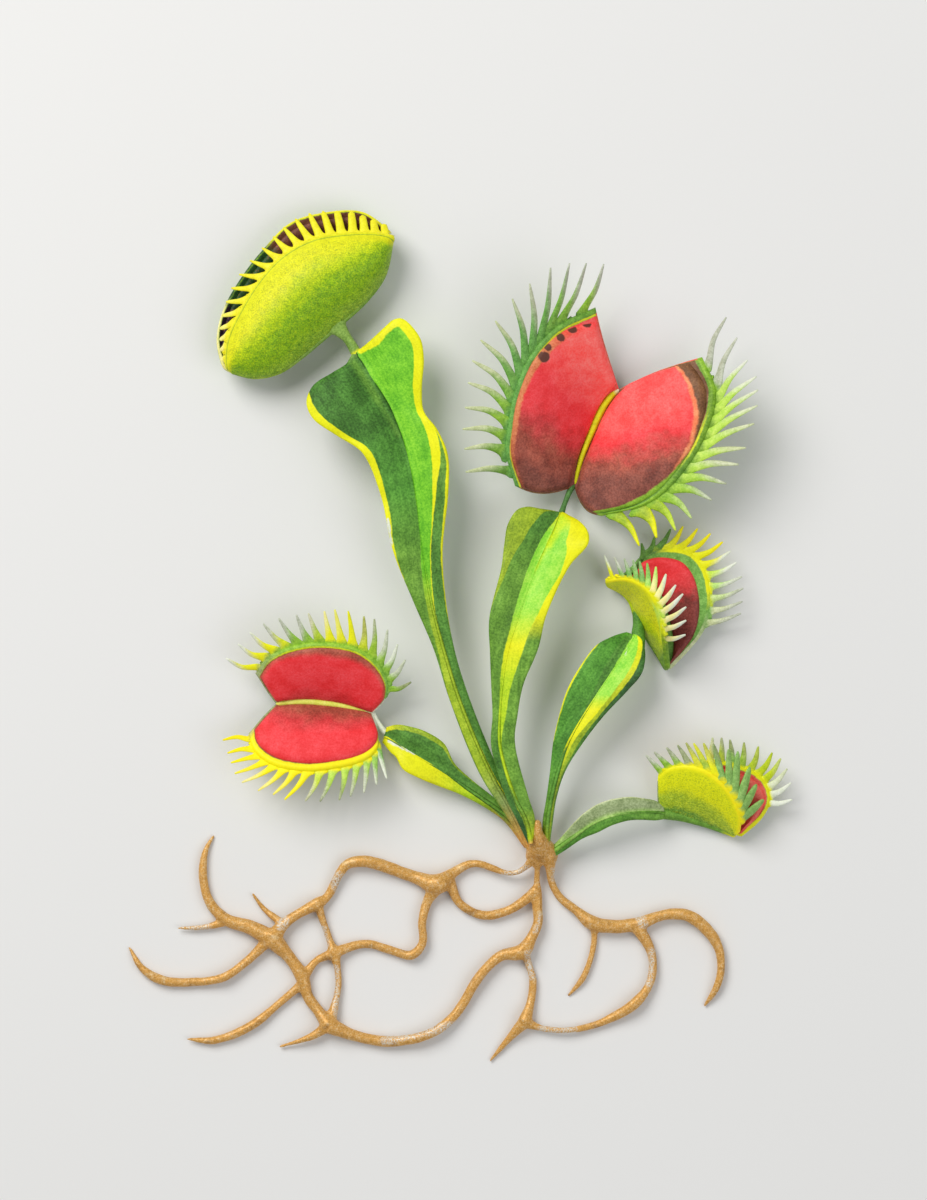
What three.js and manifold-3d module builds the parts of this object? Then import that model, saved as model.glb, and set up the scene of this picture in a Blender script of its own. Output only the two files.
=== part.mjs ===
// A bare-rooted Venus flytrap lying on a table: a golden crown with its net of roots,
// and five leaves, each a winged stalk that carries one toothed trap.
// Millimetres. x runs across the plant, y from the roots to the leaf tips, and z up from the table.
// The origin is on the flat spot under the crown.
import * as THREE from "three";
import { mergeVertices } from "three/addons/utils/BufferGeometryUtils.js";
import Module from "manifold-3d";

const wasm = await Module();
wasm.setup();

// ---- driving dimensions

const clearance = 0.3; // between a piece and the one that holds it
const stalkThickness = 1.6; // of a leaf where it leaves the crown
const bladeThickness = 1.1; // of its wings, beside the midrib
const edgeThickness = 0.7; // at the wings' margins
const ribHeight = 0.5; // what the midrib adds to the blade
const shellThickness = 1.1; // of a trap lobe's green outer wall
const rimThickness = 1.5; // of the bead round a lobe, which the teeth grow from
const liningThickness = 0.8; // of the red pad inside a lobe
const toothRadius = 0.68; // at the root of a tooth
const toothTip = 0.2;
const toothRoot = 0.9; // length of a tooth that is sunk in the rim
const crown = { halfWidth: 2.9, back: -3.2, front: 4.9, height: 7.8 };

const green = { leaf: 0x4f9a2f, trap: 0xb4cf1c };
const red = 0xd8333b;
const brown = 0x5a3326;
const gold = 0xb9822f;

// ---- shapes

const vector = ([x, y, z]) => new THREE.Vector3(x, y, z);
const smooth = (points) => new THREE.CatmullRomCurve3(points.map(vector), false, "centripetal");
const steps = (count) => Array.from({ length: count + 1 }, (_, i) => i / count);
const arch = (t, power = 1) => Math.sin(Math.PI * Math.min(1, Math.max(0, t))) ** power;

// The value at t, from 0 to 1, of numbers that are evenly spaced along a piece.
function along(values, t) {
  const place = Math.min(Math.max(t, 0), 1) * (values.length - 1);
  const i = Math.min(Math.floor(place), values.length - 2);
  return THREE.MathUtils.lerp(values[i], values[i + 1], place - i);
}

function closedGeometry(positions, triangles) {
  return new THREE.BufferGeometry()
    .setAttribute("position", new THREE.Float32BufferAttribute(positions, 3))
    .setIndex(triangles);
}

// A sheet with thickness: surface(s, u) is its middle, and low and high are how far
// its two faces lie below and above that, at right angles to it.
function sheetGeometry(surface, rows, columns, low, high) {
  const grid = rows.map((s) => columns.map((u) => surface(s, u)));
  const lastRow = rows.length - 1;
  const lastColumn = columns.length - 1;
  const normalAt = (i, j) => {
    const lengthwise = grid[Math.min(i + 1, lastRow)][j].clone().sub(grid[Math.max(i - 1, 0)][j]);
    const across = grid[i][Math.min(j + 1, lastColumn)].clone().sub(grid[i][Math.max(j - 1, 0)]);
    return lengthwise.cross(across).normalize();
  };
  const upwards = Math.sign(normalAt(lastRow >> 1, lastColumn >> 1).z);
  const positions = [];
  for (const offset of [low, high])
    rows.forEach((s, i) =>
      columns.forEach((u, j) => {
        positions.push(...grid[i][j].clone().addScaledVector(normalAt(i, j), upwards * offset(s, u)));
      }),
    );

  const triangles = [];
  const at = (layer, i, j) => (layer * rows.length + i) * columns.length + j;
  const quad = (a, b, c, d) => triangles.push(a, b, c, a, c, d);
  for (let i = 0; i < lastRow; i++)
    for (let j = 0; j < lastColumn; j++) {
      quad(at(0, i, j), at(0, i + 1, j), at(0, i + 1, j + 1), at(0, i, j + 1));
      quad(at(1, i, j), at(1, i, j + 1), at(1, i + 1, j + 1), at(1, i + 1, j));
    }
  for (let i = 0; i < lastRow; i++) {
    quad(at(0, i, 0), at(1, i, 0), at(1, i + 1, 0), at(0, i + 1, 0));
    quad(at(0, i, lastColumn), at(0, i + 1, lastColumn), at(1, i + 1, lastColumn), at(1, i, lastColumn));
  }
  for (let j = 0; j < lastColumn; j++) {
    quad(at(0, 0, j), at(0, 0, j + 1), at(1, 0, j + 1), at(1, 0, j));
    quad(at(0, lastRow, j), at(1, lastRow, j), at(1, lastRow, j + 1), at(0, lastRow, j + 1));
  }
  return closedGeometry(positions, triangles);
}

// A round rod along points, with a radius that changes from end to end.
function rodGeometry(points, radii, sides, count) {
  const path = smooth(points);
  const up = new THREE.Vector3(0, 0, 1);
  const positions = [];
  const triangles = [];
  for (const t of steps(count)) {
    const centre = path.getPoint(t);
    const side = path.getTangent(t).cross(up).normalize();
    const top = side.clone().cross(path.getTangent(t)).normalize();
    for (let k = 0; k < sides; k++) {
      const angle = (2 * Math.PI * (k + 0.25)) / sides;
      const ring = centre.clone().addScaledVector(side, Math.cos(angle) * along(radii, t));
      positions.push(...ring.addScaledVector(top, Math.sin(angle) * along(radii, t)));
    }
  }
  const start = positions.push(...path.getPoint(0)) / 3 - 1;
  const end = positions.push(...path.getPoint(1)) / 3 - 1;
  for (let k = 0; k < sides; k++) {
    const next = (k + 1) % sides;
    for (let i = 0; i < count; i++) {
      const [a, b] = [i * sides + k, i * sides + next];
      triangles.push(a, b, b + sides, a, b + sides, a + sides);
    }
    triangles.push(start, next, k, end, count * sides + k, count * sides + next);
  }
  return closedGeometry(positions, triangles);
}

// ---- joins and cuts

function solidOf(geometry) {
  const bare = new THREE.BufferGeometry().setAttribute("position", geometry.getAttribute("position"));
  if (geometry.index) bare.setIndex(geometry.index);
  const merged = mergeVertices(bare, 1e-4);
  const vertProperties = new Float32Array(merged.attributes.position.array);
  const triVerts = new Uint32Array(merged.index.array);
  const mesh = () => new wasm.Mesh({ numProp: 3, vertProperties, triVerts });
  const made = new wasm.Manifold(mesh());
  if (made.volume() > 0) return made;
  for (let i = 0; i < triVerts.length; i += 3)
    [triVerts[i + 1], triVerts[i + 2]] = [triVerts[i + 2], triVerts[i + 1]];
  return new wasm.Manifold(mesh());
}

const joined = (solids) => solids.reduce((whole, solid) => whole.add(solid));
const largestBody = (solid) => solid.decompose().sort((a, b) => b.volume() - a.volume())[0];

const tableSize = 400;
const table = solidOf(
  new THREE.BoxGeometry(tableSize, tableSize, tableSize).translate(0, 0, -tableSize / 2),
);

function meshOf(name, solid, colour, roughness, metalness = 0) {
  const { vertProperties, triVerts } = largestBody(solid.subtract(table)).getMesh();
  const geometry = closedGeometry(Array.from(vertProperties), Array.from(triVerts)).toNonIndexed();
  geometry.computeVertexNormals();
  const material = new THREE.MeshStandardMaterial({ color: colour, roughness, metalness });
  const mesh = new THREE.Mesh(geometry, material);
  mesh.name = name;
  return mesh;
}

// ---- winged leaf stalks

// Each row of a blade is [middle x, y, z, left margin x, y, right margin x, y], from the crown outwards.
// fold is how steeply the wings rise from the midrib, and neck the thin stem that holds the trap.
const leaves = {
  tall_left: {
    fold: 0.24,
    blade: [
      [-1.8, 1.4, 4.0, -2.4, 1.0, -1.0, 1.9],
      [-4.6, 6.1, 4.0, -5.6, 5.6, -3.7, 6.7],
      [-8.3, 12.8, 4.3, -9.8, 12.2, -7.2, 13.8],
      [-13.0, 24.0, 5.4, -14.6, 24.0, -11.4, 24.2],
      [-15.5, 32.0, 6.1, -17.1, 32.0, -13.8, 32.0],
      [-17.6, 40.0, 6.6, -20.5, 40.0, -15.2, 40.0],
      [-18.9, 48.0, 7.0, -23.7, 48.0, -15.7, 48.0],
      [-20.1, 56.8, 7.2, -25.6, 56.7, -14.8, 57.2],
      [-21.4, 63.2, 7.1, -28.6, 63.5, -14.9, 63.2],
      [-22.7, 67.2, 6.8, -32.5, 66.1, -16.6, 67.2],
      [-24.2, 70.7, 6.5, -36.3, 68.8, -18.7, 70.1],
      [-25.9, 73.6, 6.1, -37.4, 71.4, -19.0, 73.9],
      [-27.4, 75.8, 5.8, -36.5, 73.9, -18.7, 78.4],
      [-28.3, 77.4, 5.5, -33.9, 75.7, -19.4, 81.9],
      [-29.0, 78.6, 5.3, -31.5, 77.0, -22.1, 84.8],
      [-29.4, 79.4, 5.2, -30.6, 78.2, -25.4, 82.4],
      [-29.6, 79.7, 5.1, -30.2, 79.0, -27.7, 79.8],
    ],
    neck: { radius: 0.85, path: [[-28.8, 78.4, 5.2], [-30.7, 81.4, 4.9], [-33.0, 84.0, 4.8]] },
  },
  tall_middle: {
    fold: 0.26,
    blade: [
      [-1.3, 1.3, 5.9, -1.9, 1.1, -0.6, 1.4],
      [-2.4, 4.8, 6.2, -3.7, 4.5, -1.0, 5.1],
      [-4.3, 8.8, 6.6, -5.6, 8.5, -2.1, 8.8],
      [-6.6, 16.8, 7.3, -8.0, 16.8, -4.2, 17.3],
      [-6.6, 21.6, 7.6, -7.8, 21.6, -3.8, 21.6],
      [-6.2, 26.4, 7.8, -8.0, 26.4, -2.9, 26.4],
      [-5.3, 32.0, 8.0, -8.2, 31.7, -0.5, 32.3],
      [-3.5, 37.6, 8.0, -8.3, 37.1, 0.8, 37.6],
      [-0.6, 45.6, 7.2, -6.4, 45.1, 4.5, 45.4],
      [1.0, 49.1, 6.4, -5.9, 49.0, 7.4, 48.8],
      [2.1, 51.5, 5.7, -5.3, 52.2, 7.5, 50.7],
      [2.7, 53.0, 5.2, -3.5, 54.6, 6.4, 52.2],
      [3.0, 53.6, 4.8, -1.0, 54.4, 4.8, 53.1],
      [3.2, 53.9, 4.6, 1.8, 54.1, 4.0, 53.8],
    ],
    neck: { radius: 0.6, path: [[3.0, 52.8, 4.8], [3.8, 55.5, 3.6], [5.0, 58.2, 2.2]] },
  },
  short_right: {
    fold: 0.28,
    blade: [
      [0.8, 1.3, 4.3, 0.2, 1.3, 1.4, 1.3],
      [1.0, 4.5, 4.5, 0.2, 4.5, 1.8, 4.2],
      [1.6, 8.3, 4.8, 0.8, 8.3, 2.4, 8.2],
      [2.7, 12.8, 5.1, 1.4, 12.8, 3.8, 12.6],
      [4.3, 17.3, 5.4, 1.9, 17.4, 6.7, 17.3],
      [6.7, 21.6, 5.7, 2.9, 21.9, 10.2, 21.8],
      [9.3, 25.6, 5.8, 4.2, 25.9, 13.8, 25.6],
      [11.5, 28.8, 5.5, 6.1, 29.3, 16.0, 28.3],
      [13.3, 31.5, 4.8, 8.8, 32.8, 16.6, 31.0],
      [14.4, 33.4, 4.1, 11.4, 34.2, 16.3, 33.2],
      [14.9, 34.4, 3.7, 13.6, 34.9, 15.8, 34.3],
    ],
    neck: { radius: 0.65, path: [[14.4, 33.2, 3.9], [15.3, 35.4, 2.9], [15.3, 37.6, 1.8]] },
  },
  low_right: {
    fold: 0.3,
    blade: [
      [1.1, -0.6, 2.8, 0.8, 0.0, 1.6, -1.3],
      [3.2, 0.8, 3.1, 2.4, 1.3, 3.8, 0.0],
      [5.8, 2.7, 3.6, 4.6, 3.8, 6.6, 1.9],
      [8.2, 4.3, 4.1, 6.9, 6.1, 9.0, 2.9],
      [10.7, 5.4, 4.5, 9.8, 7.8, 11.2, 4.0],
      [13.8, 6.1, 4.5, 13.8, 8.6, 13.9, 4.8],
      [16.1, 6.2, 3.8, 16.1, 8.2, 16.1, 5.1],
      [17.4, 6.2, 3.3, 17.4, 7.5, 17.4, 5.2],
    ],
    neck: { radius: 0.75, path: [[16.0, 6.2, 3.6], [18.4, 6.2, 2.7], [20.6, 5.8, 2.1]] },
  },
  short_left: {
    fold: 0.3,
    blade: [
      [-1.9, 0.8, 1.9, -2.6, 0.3, -1.4, 1.4],
      [-5.1, 5.1, 1.8, -5.9, 4.6, -4.3, 5.8],
      [-8.3, 7.5, 2.0, -9.1, 6.9, -7.7, 8.6],
      [-12.2, 10.2, 2.4, -13.1, 9.0, -11.2, 11.4],
      [-15.0, 12.2, 2.8, -16.2, 10.2, -13.8, 13.9],
      [-17.8, 13.9, 3.1, -19.4, 11.5, -15.5, 17.1],
      [-20.5, 15.5, 3.1, -22.1, 13.0, -18.4, 19.0],
      [-22.2, 16.6, 2.8, -23.2, 14.9, -20.9, 19.8],
      [-23.5, 17.5, 2.4, -23.9, 16.7, -22.9, 19.6],
      [-24.2, 18.0, 2.1, -24.4, 17.6, -24.1, 18.8],
    ],
    neck: { radius: 0.6, path: [[-23.6, 17.6, 2.3], [-25.4, 19.2, 1.8], [-26.9, 21.8, 1.8]] },
  },
};

// The surface of a blade: u is -1 at its left margin, 0 on the midrib and 1 at its right margin.
function bladeSurface(leaf) {
  const middle = smooth(leaf.blade.map((row) => row.slice(0, 3)));
  const margin = (first) =>
    smooth(
      leaf.blade.map((row) => {
        const width = Math.hypot(row[first] - row[0], row[first + 1] - row[1]);
        return [row[first], row[first + 1], row[2] + leaf.fold * width];
      }),
    );
  const [left, right] = [margin(3), margin(5)];
  return (s, u) => middle.getPoint(s).lerp((u < 0 ? left : right).getPoint(s), Math.abs(u));
}

// grow swells the leaf on all sides, for the hole that it stands in.
function leafSolid(leaf, grow = 0) {
  const surface = bladeSurface(leaf);
  const half = (s, u) => {
    const core = THREE.MathUtils.lerp(stalkThickness, bladeThickness, Math.min(1, 2 * s));
    const rib = u === 0 ? ribHeight : 0;
    return THREE.MathUtils.lerp(core, edgeThickness, Math.abs(u)) / 2 + rib / 2 + grow;
  };
  const crownwards = surface(0, 0).sub(surface(0.03, 0)).normalize();
  const widened = (s, u) => {
    const outwards = surface(s, Math.sign(u)).sub(surface(s, 0)).normalize();
    const point = surface(s, u).addScaledVector(outwards, Math.abs(u) === 1 ? grow : 0);
    return point.addScaledVector(crownwards, s === 0 ? grow : 0);
  };
  const rows = steps(leaf.blade.length + 3);
  const columns = [-1, -0.55, 0, 0.55, 1];
  const blade = solidOf(sheetGeometry(widened, rows, columns, (s, u) => -half(s, u), half));
  return blade.add(neckSolid(leaf, grow));
}

function neckSolid({ neck }, grow = 0) {
  return solidOf(rodGeometry(neck.path, [neck.radius + grow, neck.radius + grow], 8, 4));
}

// ---- traps

// hinge is the fold between the two lobes, from one end of the trap to the other, and each rim
// runs the same way; front is the lobe nearer the viewer. bulge is how far a lobe swells along z,
// and bow how far its two end edges curve outwards. The teeth run from the rim, over the part of it
// that span gives, to the curve of tips, and lean is how much they rise over their length.
// pad is the part of a lobe's depth that its lining covers, from the hinge to the rim.
const traps = {
  tall_left: {
    rod: [0.5, 0.7, 0.8, 0.8, 0.8, 0.7, 0.5],
    hinge: [
      [-49.6, 76.6, 5.0], [-45.9, 75.7, 4.9], [-41.9, 76.5, 4.8], [-38.4, 78.9, 4.8], [-35.2, 81.6, 4.8],
      [-31.7, 84.6, 4.8], [-27.8, 88.2, 4.8], [-25.1, 92.0, 4.9], [-24.0, 97.1, 5.0],
    ],
    front: {
      rim: [
        [-50.4, 77.4, 5.6], [-49.8, 82.1, 6.0], [-47.7, 86.7, 6.3], [-44.6, 91.5, 6.4], [-41.0, 95.2, 6.5],
        [-36.6, 97.6, 6.4], [-32.2, 98.4, 6.3], [-27.5, 98.6, 6.1], [-23.4, 98.1, 5.6],
      ],
      bulge: 3.8, bow: [0, 0], teeth: 20, span: [0.03, 0.98], lean: -0.45,
      tips: [
        [-51.2, 78.1], [-51.7, 83.5], [-49.1, 90.4], [-43.7, 97.1], [-37.0, 101.9], [-30.2, 102.1], [-24.5, 100.5],
      ],
    },
    back: {
      rim: [
        [-50.7, 77.3, 4.4], [-51.4, 81.4, 3.9], [-50.4, 85.9, 3.7], [-47.8, 91.5, 3.6], [-44.3, 96.0, 3.6],
        [-39.8, 100.0, 3.6], [-34.6, 101.4, 3.7], [-28.8, 101.6, 3.9], [-23.7, 98.2, 4.4],
      ],
      bulge: -4.2, bow: [0, 0], teeth: 0, pad: [0.2, 0.9],
    },
  },
  tall_middle: {
    rod: [0.6, 0.8, 1.0, 1.0, 1.0, 0.8, 0.6],
    hinge: [
      [5.4, 58.1, 2.2], [5.8, 60.3, 1.8], [6.4, 62.6, 1.5], [7.2, 64.8, 1.2], [8.1, 67.0, 1.0],
      [9.0, 69.2, 1.0], [10.1, 71.2, 1.2], [11.4, 72.8, 1.6], [12.5, 73.6, 2.2],
    ],
    front: {
      rim: [
        [-4.2, 58.2, 5.8], [-5.8, 64.0, 8.0], [-5.4, 68.0, 8.8], [-4.8, 71.7, 9.3],
        [-3.7, 75.2, 9.6], [-2.1, 78.6, 9.6], [0.0, 81.4, 9.4], [2.6, 83.8, 8.9], [8.6, 86.6, 7.2],
      ],
      bulge: 1.4, bow: [1.0, -0.4], teeth: 14, span: [0.06, 0.98], lean: 0.35, pad: [0.12, 0.92],
      tips: [[-12.3, 60.3], [-12.4, 71.8], [-8.6, 83.4], [0.8, 92.6], [10.2, 93.9]],
    },
    back: {
      rim: [
        [9.6, 53.4, 5.2], [16.0, 54.9, 7.1], [18.9, 56.5, 7.9], [21.3, 58.7, 8.6], [23.4, 61.3, 9.0],
        [25.3, 64.2, 9.2], [26.7, 67.4, 9.2], [27.7, 70.6, 9.0], [27.8, 73.8, 8.5], [25.6, 78.7, 7.0],
      ],
      bulge: 1.4, bow: [0, 0.6], teeth: 15, span: [0.1, 0.98], lean: 0.35, pad: [0.12, 0.92],
      tips: [[15.8, 48.3], [23.7, 52.5], [31.1, 60.4], [34.1, 69.0], [34.0, 76.1], [29.3, 85.1]],
    },
  },
  short_right: {
    rod: [0.45, 0.5, 0.6, 0.7, 0.75, 0.7, 0.6, 0.5, 0.45],
    hinge: [
      [10.4, 42.6, 2.2], [13.3, 41.1, 1.7], [14.6, 39.7, 1.5], [15.4, 37.6, 1.4],
      [16.6, 35.0, 1.4], [18.7, 31.5, 1.5], [20.2, 28.8, 1.8],
    ],
    front: {
      rim: [
        [10.2, 43.4, 3.6], [13.4, 43.7, 7.4], [15.5, 43.0, 8.8], [17.3, 41.6, 9.6], [18.6, 39.7, 9.8],
        [19.4, 37.1, 9.2], [19.7, 34.2, 7.8], [20.3, 29.1, 3.2],
      ],
      bulge: 0.4, bow: [0, 0], teeth: 13, span: [0.05, 0.87], lean: -0.1,
      tips: [[9.9, 47.2], [14.4, 46.6], [18.2, 45.4], [22.6, 41.0], [23.2, 34.6]],
    },
    back: {
      rim: [
        [15.2, 44.3, 2.4], [16.2, 46.7, 2.6], [18.4, 48.0, 2.8], [21.4, 48.2, 3.0], [24.2, 47.4, 3.2],
        [26.1, 45.1, 3.3], [27.0, 41.9, 3.3], [27.0, 38.4, 3.1], [25.9, 35.0, 2.9], [23.8, 32.3, 2.5],
        [20.6, 29.1, 2.0],
      ],
      bulge: -0.5, bow: [0, 0], teeth: 13, span: [0.1, 0.76], lean: 0.22, pad: [0.38, 0.9],
      tips: [[16.0, 48.8], [22.6, 51.2], [28.6, 49.0], [31.5, 43.8], [31.4, 38.1]],
    },
  },
  low_right: {
    rod: [0.8, 0.75, 0.7, 0.7, 0.65, 0.6, 0.5],
    hinge: [
      [18.7, 6.2, 2.1], [20.3, 5.9, 1.8], [21.9, 5.6, 1.6], [23.5, 5.2, 1.5], [25.1, 4.7, 1.4],
      [26.7, 4.2, 1.3], [28.3, 3.6, 1.3], [29.8, 3.0, 1.4], [31.2, 2.4, 1.6],
    ],
    front: {
      rim: [
        [18.6, 11.8, 4.8], [20.3, 13.3, 6.2], [22.9, 13.8, 7.2], [25.4, 13.4, 7.8], [27.5, 12.3, 7.8],
        [29.3, 10.7, 7.4], [30.7, 8.8, 6.6], [31.7, 6.7, 5.6], [32.0, 4.8, 4.3], [31.7, 2.9, 2.8],
      ],
      bulge: 0.7, bow: [0, 0], teeth: 13, span: [0.04, 0.86], lean: 0,
      tips: [[16.5, 15.2], [21.4, 17.1], [25.6, 17.4], [31.5, 15.7], [35.7, 8.6]],
    },
    back: {
      rim: [
        [19.7, 11.5, 2.5], [22.6, 13.3, 2.7], [25.8, 13.9, 2.9], [29.0, 14.2, 3.0], [32.0, 13.4, 3.0],
        [34.6, 12.3, 3.0], [36.2, 10.4, 2.9], [36.6, 8.0, 2.8], [35.5, 5.6, 2.6], [32.0, 2.2, 2.0],
      ],
      bulge: -0.4, bow: [0, 0], teeth: 10, span: [0.26, 0.8], lean: 0.2, pad: [0.56, 0.9],
      tips: [[27.2, 18.2], [30.6, 17.8], [36.0, 16.3], [39.2, 13.6], [40.2, 8.3]],
    },
  },
  short_left: {
    rod: [0.5, 0.7, 0.8, 0.8, 0.8, 0.7, 0.5],
    hinge: [
      [-26.9, 21.9, 1.8], [-28.6, 22.4, 1.4], [-30.6, 22.9, 1.1], [-32.5, 23.3, 0.9], [-34.6, 23.6, 0.8],
      [-36.6, 23.8, 0.8], [-38.7, 23.8, 1.0], [-40.6, 23.6, 1.3], [-42.4, 23.4, 1.8],
    ],
    front: {
      rim: [
        [-24.5, 24.6, 4.4], [-24.5, 27.0, 5.4], [-25.6, 29.1, 6.3], [-27.4, 30.9, 6.9], [-29.8, 32.2, 7.3],
        [-32.5, 32.6, 7.4], [-35.4, 32.8, 7.3], [-38.2, 32.6, 6.9], [-41.0, 32.0, 6.3], [-43.4, 30.7, 5.5],
        [-45.1, 28.3, 4.6],
      ],
      bulge: 1.0, bow: [0, 0], teeth: 16, span: [0.05, 0.99], lean: 0.3, pad: [0.21, 0.88],
      tips: [[-20.5, 27.2], [-24.2, 35.5], [-31.0, 38.4], [-36.8, 38.2], [-44.3, 36.5], [-50.7, 30.7]],
    },
    back: {
      rim: [
        [-26.1, 18.2, 4.0], [-26.1, 16.3, 4.9], [-27.5, 14.7, 5.7], [-30.1, 13.6, 6.3], [-33.1, 13.0, 6.7],
        [-36.5, 12.6, 6.8], [-39.7, 12.8, 6.7], [-42.4, 13.4, 6.3], [-44.6, 14.6, 5.7], [-46.1, 16.3, 4.9],
        [-46.7, 18.7, 4.2],
      ],
      bulge: 1.0, bow: [0, 0], teeth: 15, span: [0.09, 0.98], lean: 0.3, pad: [0.21, 0.88],
      tips: [[-24.6, 11.0], [-31.2, 8.2], [-40.6, 8.2], [-48.2, 11.5], [-51.0, 17.6]],
    },
  },
};

// The surface of a lobe: s runs along the hinge, and u from the hinge, 0, to the rim, 1.
function lobeSurface(trap, lobe) {
  const [hinge, rim] = [smooth(trap.hinge), smooth(lobe.rim)];
  const lengthwise = hinge.getPoint(1).sub(hinge.getPoint(0)).normalize();
  return (s, u) => {
    const point = hinge.getPoint(s).lerp(rim.getPoint(s), u);
    point.addScaledVector(lengthwise, arch(u) * THREE.MathUtils.lerp(-lobe.bow[0], lobe.bow[1], s));
    point.z += lobe.bulge * arch(u) * arch(s, 0.6);
    return point;
  };
}

// Rows and columns of a lobe, so spaced that its lining lies square on them.
const padMargin = 0.05;
const lobeRows = [0, ...steps(8).map((t) => THREE.MathUtils.lerp(padMargin, 1 - padMargin, t)), 1];
const padColumns = (lobe) => steps(3).map((t) => THREE.MathUtils.lerp(...(lobe.pad ?? [0.2, 0.9]), t));

function shellSolid(trap, lobe) {
  const half = (s, u) => (u === 1 ? rimThickness : shellThickness) / 2;
  const columns = [0, ...padColumns(lobe), 1];
  return solidOf(sheetGeometry(lobeSurface(trap, lobe), lobeRows, columns, (s, u) => -half(s, u), half));
}

// The lining lies on the upper face of its lobe, thinner round its own margin.
function liningSolid(trap, lobe) {
  const near = shellThickness / 2 + clearance;
  const atMargin = (u) => u === lobe.pad[0] || u === lobe.pad[1];
  const far = (s, u) => near + liningThickness * (atMargin(u) ? 0.8 : 1);
  const sheet = [lobeSurface(trap, lobe), lobeRows.slice(1, -1), padColumns(lobe)];
  return solidOf(sheetGeometry(...sheet, () => near, far));
}

function toothSolids(trap, lobe) {
  const [hinge, rim] = [smooth(trap.hinge), smooth(lobe.rim)];
  const tips = smooth(lobe.tips.map(([x, y]) => [x, y, 0]));
  return steps(lobe.teeth - 1).map((t) => {
    const s = THREE.MathUtils.lerp(...lobe.span, t);
    const [base, tip] = [rim.getPoint(s), tips.getPoint(t)];
    tip.z = base.z + lobe.lean * Math.hypot(tip.x - base.x, tip.y - base.y);
    const inwards = hinge.getPoint(s).sub(base).normalize();
    const root = base.clone().addScaledVector(inwards, toothRoot);
    const path = [root, base, tip].map((point) => point.toArray());
    return solidOf(rodGeometry(path, [toothRadius, toothRadius, toothTip], 3, 2));
  });
}

function trapSolid(trap) {
  const lobes = [trap.front, trap.back];
  const rod = solidOf(rodGeometry(trap.hinge, trap.rod, 6, 9));
  const shells = lobes.map((lobe) => shellSolid(trap, lobe));
  const teeth = lobes.flatMap((lobe) => (lobe.teeth ? toothSolids(trap, lobe) : []));
  return joined([rod, ...shells, ...teeth]);
}

// ---- crown and roots

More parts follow.
